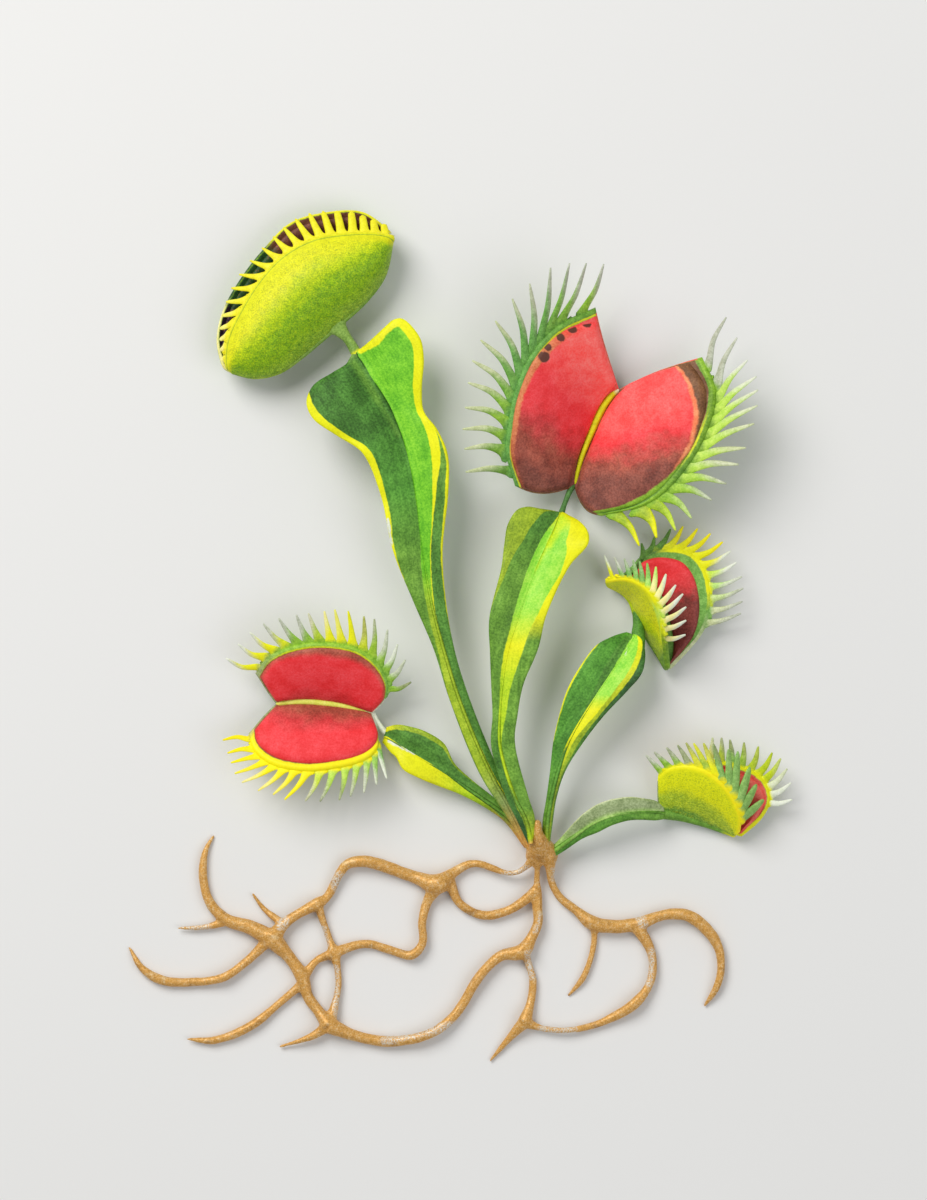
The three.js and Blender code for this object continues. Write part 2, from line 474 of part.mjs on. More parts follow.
// Each root is [x, y, radius] points; where two meet they fuse.
const roots = {
  upperLeft: [
    [-1.3, -2.4, 0.8], [-5.1, -3.5, 0.6], [-10.7, -2.1, 0.7], [-13.9, -3.5, 0.8], [-16.5, -5.4, 1.7],
    [-20.5, -4.2, 1.0], [-28.0, -1.8, 1.0], [-31.2, -2.4, 0.8], [-34.2, -7.5, 0.7], [-35.7, -8.5, 1.0],
    [-38.7, -10.1, 0.8], [-41.1, -11.8, 0.9], [-43.0, -14.1, 1.6],
  ],
  upTip: [
    [-43.0, -14.1, 1.4], [-46.6, -12.3, 1.2], [-50.1, -11.2, 1.0], [-53.0, -8.3, 0.8],
    [-54.1, -3.5, 0.7], [-53.6, 0.0, 0.5], [-52.3, 2.4, 0.25],
  ],
  leftTwig: [[-50.0, -11.4, 0.7], [-53.8, -12.3, 0.5], [-58.2, -12.5, 0.25]],
  leftHook: [
    [-43.5, -14.3, 1.0], [-47.2, -17.9, 0.7], [-50.7, -20.3, 0.7], [-55.4, -21.1, 0.7],
    [-60.6, -20.8, 0.8], [-63.8, -18.9, 0.6], [-65.9, -15.5, 0.25],
  ],
  spine: [
    [-43.0, -14.1, 1.6], [-40.0, -17.4, 1.0], [-38.1, -20.5, 1.1], [-37.3, -23.4, 0.9],
    [-35.7, -25.6, 0.9], [-33.9, -28.0, 1.4],
  ],
  smallTwig: [[-41.4, -11.7, 0.7], [-44.3, -9.4, 0.45], [-46.2, -6.9, 0.25]],
  innerDown: [
    [-35.7, -8.5, 0.8], [-35.0, -10.9, 0.6], [-33.9, -14.1, 0.55], [-33.1, -16.5, 0.9],
    [-32.5, -19.2, 0.55], [-32.5, -22.4, 0.55], [-33.8, -27.8, 1.0],
  ],
  innerLoop: [
    [-16.5, -5.4, 1.4], [-18.2, -8.3, 0.8], [-19.0, -11.5, 0.7], [-19.0, -15.0, 0.7], [-20.8, -16.8, 0.8],
    [-24.0, -16.0, 0.7], [-27.7, -15.0, 0.7], [-30.7, -15.5, 0.75], [-33.1, -16.5, 0.9],
    [-35.8, -17.6, 0.6], [-38.1, -20.5, 0.9],
  ],
  lowerLeft: [
    [-38.0, -21.2, 0.8], [-41.6, -24.3, 0.6], [-46.6, -28.2, 0.75], [-52.2, -30.4, 0.65], [-56.8, -30.2, 0.25],
  ],
  lowerTwig: [[-33.9, -28.0, 1.0], [-36.8, -29.8, 0.6], [-41.9, -31.5, 0.25]],
  bridge: [
    [-14.6, -5.2, 1.0], [-13.0, -8.5, 0.7], [-9.4, -10.4, 0.75], [-5.9, -9.9, 0.75], [-3.0, -8.3, 0.8],
    [-0.6, -6.2, 0.9],
  ],
  centre: [
    [-0.3, -1.9, 1.0], [-0.6, -5.9, 0.8], [-0.6, -8.8, 0.9], [-0.5, -11.5, 0.8], [-1.6, -14.1, 0.9],
    [-3.0, -16.2, 1.3], [-6.2, -16.8, 0.9], [-8.6, -18.7, 0.8], [-10.7, -21.4, 0.8], [-12.5, -24.6, 0.8],
    [-14.6, -27.2, 0.8], [-17.9, -29.4, 0.8], [-24.2, -30.6, 0.9], [-29.3, -29.8, 0.9], [-33.9, -28.0, 1.4],
  ],
  centreDown: [
    [-2.7, -16.2, 0.9], [-2.1, -17.9, 0.6], [-1.3, -20.8, 0.65], [-1.6, -24.0, 0.65], [-2.6, -27.5, 1.2],
  ],
  centreTip: [[-2.4, -27.2, 1.1], [-4.8, -29.8, 0.65], [-8.2, -33.8, 0.25]],
  rightLoop: [
    [-2.6, -27.5, 1.0], [0.2, -28.5, 0.5], [3.8, -28.8, 0.5], [7.4, -28.3, 0.55], [10.9, -27.0, 0.7],
    [14.9, -24.6, 0.9], [17.1, -21.9, 0.7], [17.9, -18.6, 0.7], [17.4, -15.7, 0.8], [15.5, -12.5, 1.1],
  ],
  right: [
    [1.3, -1.9, 1.0], [1.6, -4.8, 0.7], [3.0, -7.5, 0.7], [5.6, -9.6, 0.75], [8.3, -11.7, 1.2],
    [11.8, -12.2, 1.1], [15.5, -11.8, 1.1], [19.4, -10.4, 0.85], [23.4, -10.4, 1.0], [26.4, -12.6, 1.0],
    [28.3, -15.4, 0.8], [28.8, -18.6, 0.65], [28.0, -22.1, 0.6], [26.1, -25.0, 0.25],
  ],
  rightTwig: [[8.5, -12.0, 0.8], [8.5, -14.4, 0.5], [8.0, -17.1, 0.5], [6.6, -20.6, 0.5], [4.3, -23.4, 0.25]],
};

// How high the underside of a root lies: it waves a little over the table, and climbs to the crown.
function rootLift(x, y) {
  const wave = 0.5 * (1 + Math.sin(0.31 * x + 0.8) * Math.sin(0.37 * y));
  const climb = 2.2 * Math.exp(-(x * x + y * y) / 30);
  return Math.max(0, wave - 0.35) + climb;
}

function rootSolid(points) {
  const path = points.map(([x, y, radius]) => [x, y, radius + rootLift(x, y)]);
  const radii = points.map(([, , radius]) => radius);
  return solidOf(rodGeometry(path, radii, 6, Math.round((points.length - 1) * 1.3)));
}

// The crown is a small bulb that lies along y, flat where it rests.
function crownSolid() {
  const length = crown.front - crown.back;
  const profile = steps(8).map((t) => new THREE.Vector2(arch(t, 0.75), length * (t - 0.5)));
  profile[0].x = 0;
  profile[profile.length - 1].x = 0;
  const sunk = 0.35; // how much of the round bulb the flat spot takes off
  const halfHeight = (crown.height + sunk) / 2;
  const bulb = new THREE.LatheGeometry(profile, 14)
    .scale(crown.halfWidth, 1, halfHeight)
    .translate(0.1, (crown.front + crown.back) / 2, crown.height - halfHeight);
  return solidOf(bulb);
}

// ---- the plant

const plant = new THREE.Group();

const leafSolids = Object.entries(leaves).map(([name, leaf]) => [name, leafSolid(leaf)]);
const holes = Object.values(leaves).map((leaf) => leafSolid(leaf, 1.3 * clearance));
const rootStock = joined([crownSolid(), ...Object.values(roots).map(rootSolid)]);
const heldStock = holes.reduce((stock, hole) => stock.subtract(hole), rootStock);
plant.add(meshOf("crown_and_roots", heldStock, gold, 0.45, 0.6));

leafSolids.forEach(([name, solid]) => {
  plant.add(meshOf(`${name}_stalk`, solid, green.leaf, 0.5));
});

Object.entries(traps).forEach(([name, trap]) => {
  const shell = trapSolid(trap).subtract(neckSolid(leaves[name], clearance));
  plant.add(meshOf(`${name}_trap`, shell, green.trap, 0.45));
  for (const side of ["front", "back"]) {
    if (!trap[side].pad) continue;
    const colour = name === "tall_left" ? brown : red;
    plant.add(meshOf(`${name}_${side}_lining`, liningSolid(trap, trap[side]), colour, 0.4));
  }
});

export default plant;
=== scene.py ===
import math
import random

import bpy
import numpy as np
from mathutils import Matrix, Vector


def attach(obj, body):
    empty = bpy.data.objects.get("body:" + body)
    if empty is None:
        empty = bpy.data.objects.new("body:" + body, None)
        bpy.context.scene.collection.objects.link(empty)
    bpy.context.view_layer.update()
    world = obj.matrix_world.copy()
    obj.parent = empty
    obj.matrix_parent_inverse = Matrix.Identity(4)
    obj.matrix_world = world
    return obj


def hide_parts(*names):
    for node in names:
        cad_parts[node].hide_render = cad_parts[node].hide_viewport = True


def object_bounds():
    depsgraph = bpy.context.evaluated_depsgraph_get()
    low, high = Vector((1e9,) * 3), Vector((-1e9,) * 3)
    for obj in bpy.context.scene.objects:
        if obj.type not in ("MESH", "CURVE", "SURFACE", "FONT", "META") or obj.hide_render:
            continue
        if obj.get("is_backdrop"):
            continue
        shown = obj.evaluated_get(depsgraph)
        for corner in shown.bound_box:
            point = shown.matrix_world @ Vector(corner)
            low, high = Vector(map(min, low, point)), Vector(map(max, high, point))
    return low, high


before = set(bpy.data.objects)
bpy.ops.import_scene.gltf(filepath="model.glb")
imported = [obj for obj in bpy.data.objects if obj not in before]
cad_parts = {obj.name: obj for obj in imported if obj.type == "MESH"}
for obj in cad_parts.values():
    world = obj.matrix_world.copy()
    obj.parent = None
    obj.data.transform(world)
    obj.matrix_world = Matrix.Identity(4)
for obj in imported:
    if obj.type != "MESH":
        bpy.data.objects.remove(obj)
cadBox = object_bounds()
print("packed frame loaded,", len(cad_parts), "nodes")

mm = 0.001  # every shape below is worked out in millimetres

# Paint colours, as they look on the finished plant.
paint = dict(
    leafGreen="528631", midGreen="6a9a34", freshGreen="74c425", lime="9fe444",
    paleLime="b9ea6a", yellow="ecec08", sharpYellow="fdf00a", olive="93ae24", greyGreen="8ea45b",
    chalk="e4ead6", bottle="2f5a2b", stemGreen="4d7a3c", coral="fb5856", red="f03c42", blood="cf3d3e",
    umber="5e3328", rust="a8513f", cocoa="84483b", bark="7a5233", darkRed="8a3f38", clay="d67d50",
    salmon="f79161", gold="d8a14e", paleGold="ecd6a6", darkGold="a87735", trapYellow="dcdd0a",
    # the trap's grey green and trapShade are painted shade, toward a lobe's hinge and the neck
    trapLime="b4cc08", trapGreen="88b607", trapDark="779f2c", trapGrey="80a348", trapShade="8aaf33",
    leafGrey="99aa78", ribYellow="ece51e", limeTooth="bfe457", ashTooth="bcc2ac", paleTooth="cdd6a4",
    springGreen="90bf37", rimGreen="6aa54c", rimOlive="76a02a", cream="f6ee9c", plum="2a1a2c",
    ribBrown="7a4b3a", lobeOlive="bed20c", lobeYellow="e2e80a", lobeLow="abc52a", mint="82bd59",
    tooth="8cba60", edgeGrey="99a474", wingDark="578232", richGreen="529130", deepLeaf="46782c",
    oliveLime="a3bf2c", yellowGreen="b6d81c", leafLight="a0c865", keelGreen="74b032", straw="e6ec66",
    warmLime="cde916", fadedOlive="6c9a38", silver="dad6ca", coralPale="ff6a64", stripGreen="7ab250",
    # brick is painted lighter than the pad's own red: painted light deep inside the trap
    brick="f0685a")


def linear(name):
    parts = [int(paint[name][k:k + 2], 16) / 255 for k in (0, 2, 4)]
    return [p / 12.92 if p <= 0.04045 else ((p + 0.055) / 1.055) ** 2.4 for p in parts] + [1]


def addObject(name, data):
    made = bpy.data.objects.new(name, data)
    bpy.context.scene.collection.objects.link(made)
    return made


# shapes in numbers

def smoothCurve(points, places):
    # a centripetal curve through all points; places run from 0 to 1
    points = np.array(points, float)
    places = np.clip(places, 0, 1) * (len(points) - 1)
    first = np.minimum(places.astype(int), len(points) - 2)
    rest = (places - first)[:, None]
    padded = np.vstack([2 * points[0] - points[1], points, 2 * points[-1] - points[-2]])
    a, b, c, d = (padded[first + k] for k in range(4))
    gap = lambda p, q: np.maximum(np.sum((p - q) ** 2, axis=1), 1e-8)[:, None] ** 0.25
    ab, bc, cd = gap(a, b), gap(b, c), gap(c, d)
    leave = ((b - a) / ab - (c - a) / (ab + bc) + (c - b) / bc) * bc
    arrive = ((c - b) / bc - (d - b) / (bc + cd) + (d - c) / cd) * bc
    return (b + leave * rest + (3 * c - 3 * b - 2 * leave - arrive) * rest ** 2
            + (2 * b - 2 * c + leave + arrive) * rest ** 3)


def along(values, places):
    return np.interp(places, np.linspace(0, 1, len(values)), values)


def eased(count):
    # steps from 0 to 1 that are closer together near both ends
    return 0.5 - 0.5 * np.cos(np.pi * np.linspace(0, 1, count))


def arch(t, power=1.0):
    return np.sin(np.pi * np.clip(t, 0, 1)) ** power


def softStep(low, high, x):
    t = np.clip((x - low) / (high - low), 0, 1)
    return t * t * (3 - 2 * t)


def roundedEdge(distance, radius, least=0.0):
    # a quarter circle from least at the edge to 1 inside it
    inside = 1 - np.clip(distance / radius, 0, 1)
    return least + (1 - least) * np.sqrt(np.maximum(1 - inside ** 2, 0.0))


def unit(v):
    return v / np.maximum(np.linalg.norm(v, axis=-1, keepdims=True), 1e-9)


def gridFaces(rows, columns, wrap=False):
    i = np.arange(rows - 1)[:, None]
    j = np.arange(columns if wrap else columns - 1)[None, :]
    a, b = i * columns + j, i * columns + (j + 1) % columns
    return np.stack([a, b, b + columns, a + columns], axis=-1).reshape(-1, 4)


def nearLines(grid, lines):
    # how far the points lie, seen from above, from the edge of strokes given as [x, y, x, y, half width]
    far = []
    for x0, y0, x1, y1, half in lines:
        offset, step = grid[..., :2] - [x0, y0], np.array([x1 - x0, y1 - y0])
        part = np.clip(offset @ step / (step @ step), 0, 1)
        far.append(np.linalg.norm(offset - part[..., None] * step, axis=-1) - half)
    return np.min(far, axis=0)


def stepsAlong(grid):
    # distance in mm run along the first direction of a grid of points, at each point
    lengths = np.linalg.norm(np.diff(grid, axis=0), axis=-1)
    return np.concatenate([np.zeros((1,) + lengths.shape[1:]), np.cumsum(lengths, axis=0)])


# Each part is (points, faces, fields); a field has a number for each point, which the paints read.

def closedSheet(grid, low, high, **fields):
    # a sheet with thickness: its faces lie low below and high above the grid
    rows, columns = grid.shape[:2]
    normal = unit(np.cross(np.gradient(grid, axis=0), np.gradient(grid, axis=1)))
    normal *= np.sign(normal[rows // 2, columns // 2, 2])
    points = np.concatenate([grid - normal * low[..., None], grid + normal * high[..., None]]).reshape(-1, 3)
    index, quads = np.arange(rows * columns).reshape(rows, columns), gridFaces(rows, columns)
    around = np.concatenate([index[0], index[1:, -1], index[-1, -2::-1], index[-2:0:-1, 0]])
    after = np.roll(around, -1)
    rim = np.stack([around, after, after + index.size, around + index.size], axis=-1)
    fields = {name: np.tile(np.broadcast_to(value, index.shape).reshape(-1), 2)
              for name, value in fields.items()}
    fields["upper"] = np.repeat([0.0, 1.0], index.size)
    return points, np.concatenate([quads[:, ::-1], quads + index.size, rim]).tolist(), fields


def tube(path, width, height, sides, wide=None, **fields):
    # path is a row of points, width and height half of what the tube measures along wide and across it
    forward = unit(np.gradient(path, axis=0))
    if wide is None:
        wide = np.cross(forward, [0, 0, 1.0])
    wide = unit(wide - forward * np.sum(wide * forward, axis=1, keepdims=True))
    angle = 2 * np.pi * np.arange(sides) / sides
    ring = (path[:, None] + wide[:, None] * (width[:, None] * np.cos(angle))[..., None]
            + np.cross(forward, wide)[:, None] * (height[:, None] * np.sin(angle))[..., None])
    start = len(path) * sides
    caps = [[start, (k + 1) % sides, k] for k in range(sides)]
    caps += [[start + 1, start - sides + k, start - sides + (k + 1) % sides] for k in range(sides)]
    spread = {"turn": np.append(np.tile(np.cos(angle), len(path)), [0, 0])}
    for name, value in fields.items():
        value = np.broadcast_to(value, len(path))
        spread[name] = np.append(np.repeat(value, sides), [value[0], value[-1]])
    points = np.concatenate([ring.reshape(-1, 3), path[:1], path[-1:]])
    return points, gridFaces(len(path), sides, wrap=True).tolist() + caps, spread


def joined(parts):
    # one part from several; a field that one of them lacks is 0 there
    faces, first = [], 0
    for own, ownFaces, _ in parts:
        corners = np.array([(f[0], f[k], f[k + 1]) for f in ownFaces for k in range(1, len(f) - 1)])
        a, b, c = (own[corners[:, k]] for k in range(3))
        turn = -1 if np.sum(a * np.cross(b, c)) < 0 else 1  # faces look outwards
        faces += [[v + first for v in f[::turn]] for f in ownFaces]
        first += len(own)
    fields = {name: np.concatenate([part[2].get(name, np.zeros(len(part[0]))) for part in parts])
              for name in sorted({name for part in parts for name in part[2]})}
    return np.concatenate([part[0] for part in parts]), faces, fields


def addField(mesh, name, values):
    mesh.attributes.new(name, "FLOAT", "POINT").data.foreach_set("value", values.astype(np.float32))


def meshPiece(name, parts, nodes, finish):
    # one object, made of parts, that stands for CAD nodes
    points, faces, fields = joined(parts)
    points[:, 2] = np.maximum(points[:, 2], 0.0)  # flat where it rests on the table
    mesh = bpy.data.meshes.new(name)
    mesh.from_pydata(points * mm, [], faces)
    mesh.validate()
    for field, values in fields.items():
        addField(mesh, field, values)
    mesh.shade_smooth()
    mesh.materials.append(finish)
    piece = addObject(name, mesh)
    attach(piece, "root")
    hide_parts(*nodes)


# finishes

# What the paint does on each kind of skin, in mm: washes, where it gathers and thins out, are [size,
# strength, detail], bumps [size, depth, detail], and dull is [size, low, high]. Two more numbers stretch
# one along and across the piece instead of its size.
skins = dict(
    leaf=dict(washes=[[3, 0.35, 4], [0.32, 0.4, 3], [0, 0.2, 3, 8, 0.5]],
              bumps=[[0, 0.045, 3, 9, 0.35], [0.35, 0.03, 2]], dull=[1.6, -1.2, 2]),
    trap=dict(washes=[[0.9, 0.3, 3], [0.28, 0.3, 3]],
              bumps=[[0, 0.04, 3, 1.3, 5], [0.4, 0.03, 3]], dull=[1.2, -1.2, 2]),
    lining=dict(washes=[[2.6, 0.38, 4], [0.3, 0.35, 3]],
                bumps=[[0.3, 0.04, 3], [1.4, 0.06, 2]], dull=[0.9, -1.2, 2]),
    # the dark lining is painted shadow inside a shut trap
    shadowLining=dict(bumps=[], dull=[0.9, -1, 1.8]),
    root=dict(bumps=[[0.28, 0.05, 3], [1.8, 0.06, 3]], dull=[0.3, -0.7, 2]))
# How far each edge or tone of paint wavers, as in a hand-painted line, and over what length, in mm.
waver = dict(band=[0.12, 0.9], stroke=[0.25, 0.9], skin=[0.1, 2], rim=[0.14, 0.8], ends=[0.12, 0.8],
             foot=[0.04, 0.8], toothTip=[0.12, 0.7], toothFoot=[0.08, 0.6], lining=[0.13, 4],
             liningFine=[0.045, 1.2], liningBand=[0.3, 0.9], spots=[0.2, 0.6], worn=[0.5, 0.8])
# Between which values each mask fades in, and how rough each noise is.
fade = dict(wash=[0.3, 0.7], darkSpeck=[0.5, 0.32], lightSpeck=[0.52, 0.7], neck=[0.3, 0.7], ends=[0.5, 0.2],
            inner=[0.25, 0.5], line=[0.16, 0.05], toothTip=[0.35, 0.95], toothFoot=[0, 0.22], rod=[0.4, 0.6],
            spots=[0.12, -0.12], worn=[0.25, -0.25], wornSpeck=[0.4, 0.62])
rough = dict(usual=0.55, wash=0.6, speck=0.6, stretched=0.6, wornSpeck=0.7)
shine = 0.3
away = 9  # mm, for points that lie far from a rim or a stroke


class Finish:
    # one material, put together from layers of paint; a colour is a socket or the name of a paint
    def __init__(self, name, metallic=0.0):
        self.material = bpy.data.materials.new(name)
        self.material.use_nodes = True
        self.tree = self.material.node_tree
        self.shader = self.tree.nodes["Principled BSDF"].inputs
        self.join(metallic, self.shader["Metallic"])
        self.join(shine, self.shader["Specular IOR Level"])
        self.place = self.node("ShaderNodeTexCoord").outputs["Object"]

    def join(self, source, target):
        if hasattr(source, "links"):
            self.tree.links.new(source, target)
        else:
            target.default_value = linear(source) if isinstance(source, str) else source

    def node(self, kind, sources=(), **settings):
        made = self.tree.nodes.new(kind)
        for key, value in settings.items():
            setattr(made, key, value)
        for key, source in dict(sources).items():
            self.join(source, made.inputs[key])
        return made

    def maths(self, kind, *values):
        return self.node("ShaderNodeMath", enumerate(values), operation=kind).outputs[0]

    def scaled(self, value, factor, plus):
        return self.maths("MULTIPLY_ADD", value, factor, plus)

    def field(self, name):
        return self.node("ShaderNodeAttribute", attribute_name=name).outputs["Fac"]

    def noise(self, size, detail=3, kind="usual", stretched=()):
        if stretched:
            flow = (self.maths("DIVIDE", self.field(name), length)
                    for name, length in zip(("run", "side"), stretched))
            spot = self.node("ShaderNodeCombineXYZ", enumerate(flow))
        else:
            spot = self.node("ShaderNodeMapping", {"Vector": self.place, "Scale": [1 / (size * mm)] * 3})
        return self.node("ShaderNodeTexNoise", {"Vector": spot.outputs[0], "Scale": 1, "Detail": detail,
                                                "Roughness": rough[kind]}).outputs["Fac"]

    def wavering(self, value, kind):
        amount, size = waver[kind]
        return self.scaled(self.maths("SUBTRACT", self.noise(size, 2), 0.5), 2 * amount, value)

    def mask(self, value, *ends):
        # fades in between two values, or between those that fade holds under a name
        low, high = ends if len(ends) == 2 else fade[ends[0]]
        return self.node("ShaderNodeMapRange", {"Value": value, "From Min": low, "From Max": high},
                         interpolation_type="SMOOTHSTEP").outputs["Result"]

    def ramp(self, value, tones):
        # tones reads like "0.1 gold 0.3, 0.5 lime": gold up to 0.3, lime from 0.5 on, mixed in between
        if " " not in tones:
            return tones
        stops = []
        for tone in tones.split(", "):
            start, name, *end = tone.split()
            stops += [(float(place), name) for place in (start, *end)]
        made = self.node("ShaderNodeValToRGB", {"Fac": value})
        elements = made.color_ramp.elements
        while len(elements) < len(stops):
            elements.new(0.5)
        for element, (place, _) in zip(elements, stops):
            element.position = place
        for element, (_, name) in zip(elements, stops):
            element.color = linear(name)
        return made.outputs["Color"]

    def over(self, under, top, mask, blend="MIX"):
        return self.node("ShaderNodeMix", {0: mask, 6: under, 7: top},
                         data_type="RGBA", blend_type=blend).outputs[2]

    def grain(self, colour, size, amount, dark, light):
        # specks of a darker and a lighter paint
        speck = self.noise(size, 2, "speck")
        colour = self.over(colour, dark, self.maths("MULTIPLY", self.mask(speck, "darkSpeck"), amount))
        return self.over(colour, light, self.maths("MULTIPLY", self.mask(speck, "lightSpeck"), amount))

    def washed(self, colour, size, amount, detail=3, *stretched):
        spread = self.mask(self.noise(size, detail, "wash", stretched), "wash")
        return self.over(colour, spread, amount, "SOFT_LIGHT")

    def washedAs(self, kind, colour):
        for wash in skins[kind]["washes"]:
            colour = self.washed(colour, *wash)
        return colour

    def finished(self, kind, colour):
        size, low, high = skins[kind]["dull"]
        self.join(colour, self.shader["Base Color"])
        self.join(self.mask(self.noise(size), low, high), self.shader["Roughness"])
        below = None
        for size, depth, detail, *stretched in skins[kind]["bumps"]:
            height = self.noise(size, detail, "stretched" if stretched else "usual", stretched)
            bump = self.node("ShaderNodeBump", {"Height": height, "Strength": 1, "Distance": depth * mm})
            if below:
                self.join(below, bump.inputs["Normal"])
            below = bump.outputs["Normal"]
            self.join(below, self.shader["Normal"])
        return self.material


# camera, light and floor

view = dict(centre=(-12.4, 40), height=192, distance=1600, sensor=24)  # mm
# Lamps are [place in m, size, power, tint].
studio = dict(
    lamps=dict(windowSoftbox=[(-0.42, 0.5, 0.62), 0.55, 5.9, (1.0, 0.985, 0.96)],
               fillSoftbox=[(0.55, -0.25, 0.7), 0.7, 2.2, (0.95, 0.97, 1.0)]),
    aim=(-0.012, 0.03, 0), worldStrength=0.36, tableReach=0.9, tableColour=(0.78, 0.78, 0.77, 1),
    tableRoughness=0.85)


def addCamera():
    data = bpy.data.cameras.new("topCamera")
    data.sensor_fit, data.sensor_height = "VERTICAL", view["sensor"]
    data.lens = view["sensor"] * view["distance"] / view["height"]
    data.clip_start, data.clip_end = 0.05, 10
    bpy.context.scene.camera = addObject("topCamera", data)
    bpy.context.scene.camera.location = [length * mm for length in (*view["centre"], view["distance"])]


def addStudio():
    for name, (place, size, power, tint) in studio["lamps"].items():
        data = bpy.data.lights.new(name, "AREA")
        data.shape, data.size, data.energy, data.color = "DISK", size, power, tint
        lamp = addObject(name, data)
        lamp.location = place
        lamp.rotation_euler = (Vector(studio["aim"]) - lamp.location).to_track_quat("-Z", "Y").to_euler()
    world = bpy.data.worlds.new("paleRoom")
    world.use_nodes = True
    sky = world.node_tree.nodes["Background"].inputs
    sky["Color"].default_value, sky["Strength"].default_value = (1, 1, 1, 1), studio["worldStrength"]
    bpy.context.scene.world = world
    bpy.context.scene.view_settings.view_transform = "Standard"
    mesh = bpy.data.meshes.new("paleTable")
    corners = [(-1, -1, 0), (1, -1, 0), (1, 1, 0), (-1, 1, 0)]
    mesh.from_pydata(np.array(corners) * studio["tableReach"], [], [(0, 1, 2, 3)])
    table = addObject("paleTable", mesh)
    top = bpy.data.materials.new("paleTableTop")
    top.use_nodes = True
    shader = top.node_tree.nodes["Principled BSDF"].inputs
    shader["Base Color"].default_value = studio["tableColour"]
    shader["Roughness"].default_value = studio["tableRoughness"]
    mesh.materials.append(top)
    table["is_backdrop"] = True


addCamera()
addStudio()
print("camera, lamps and table set")

# leaf stalks

# Each row of a blade is [middle x, y, z, left margin x, y, right margin x, y], from the crown outwards.
# Bands of paint run side by side from the left margin to the right one. Each is [tones, where it ends], the
# latter at even steps from crown to tip, from -1 on the left margin to 1 on the right one; soft names bands
# that begin softly. Strokes lie over them as [paint, how soft the edge is, lines of [x, y, x, y, half width]].
# Across a blade's fold, the darker bands on one side and the lighter ones on the other are painted shade and
# light.
leaves = {}
leaves["tall_left"] = dict(
    # the grey-green on its neck is painted shade
    fold=0.24, ripple=0.3, neckPaint="trapGrey", neckRadii=[0.5, 0.85, 0.75, 1.2, 2.8],
    neck=[[-28.4, 77.8, 5.3], [-29.6, 79.6, 5.1], [-30.7, 81.4, 4.9], [-32, 83, 4.8], [-33.2, 84.4, 4.8]],
    rows=[[-1.75, 0.1, 3.4, -2.15, -0.1, -1.2, 0.4], [-4.6, 6.1, 4, -5.6, 5.6, -3.7, 6.7],
          [-8.3, 12.8, 4.3, -9.8, 12.2, -7.2, 13.8], [-13, 24, 5.4, -14.6, 24, -11.4, 24.2],
          [-15.5, 32, 6.1, -17.1, 32, -13.8, 32], [-17.6, 40, 6.6, -20.5, 40, -15.2, 40],
          [-18.9, 48, 7, -23.7, 48, -15.7, 48], [-20.1, 56.8, 7.2, -25.6, 56.7, -14.8, 57.2],
          [-21.4, 63.2, 7.1, -28.6, 63.5, -14.9, 63.2], [-22.7, 67.2, 6.8, -32.5, 66.1, -16.6, 67.2],
          [-24.2, 70.7, 6.5, -36.3, 68.8, -18.7, 70.1], [-25.9, 73.6, 6.1, -37.4, 71.4, -19, 73.9],
          [-27.4, 75.8, 5.8, -36.5, 73.9, -18.7, 78.4], [-28.3, 77.4, 5.5, -33.9, 75.7, -19.4, 81.9],
          [-29, 78.6, 5.3, -31.5, 77, -22.6, 84.9], [-29.4, 79.4, 5.2, -30.6, 78.2, -26.2, 80.9],
          [-29.6, 79.7, 5.1, -30.2, 79, -27.9, 79.8]],
    strokes=[["fadedOlive", 0.7, [-30, 77.7, -26.2, 71.6, 0.4], [-26.2, 71.6, -23, 66.2, 0.1]],
             ["yellow", 0.15, [-17.7, 67.4, -16.6, 62, 0.45]],
             ["yellow", 0.15, [-22, 85, -24.5, 83.2, 0.7], [-24.5, 83.2, -26.3, 81, 0.6],
              [-26.3, 81, -28.5, 79.9, 0.5]],
             ["chalk", 0.12, [-24.5, 52.8, -23.8, 48.8, 0.2]]],
    bands=[
        ["yellow", [-1.2, -1.2, -1.2, -1.07, -0.87, -0.79, -0.85, -0.94, -1.15, -1.2, -1.2]],
        ["0.02 gold, 0.09 midGreen 0.36, 0.44 richGreen, 0.58 deepLeaf 0.88, 0.97 trapGrey",
         [-0.6, -0.9, -0.95, -0.4, -0.03, 0.02, 0.01, 0.02, 0.03, 0.03, 0.03]],
        ["0.02 gold, 0.08 greyGreen, 0.13 oliveLime 0.3, 0.35 freshGreen",
         [0.3, 0.2, 0.12, 0.2, 0.5, 0.6, 0.76, 0.8, 0.84, 0.84, 0.55]],
        ["yellow", [0.44, 0.44, 0.22, 0.24, 0.53, 0.82, 1.05, 1.2, 1.2, 1.2, 1.2]],
        ["0.02 gold, 0.08 leafGreen 0.4, 0.5 midGreen",
         [1.2, 1.2, 1.2, 0.95, 0.9, 0.93, 0.97, 1.1, 1.2, 1.2, 1.2]],
        ["yellow"]])
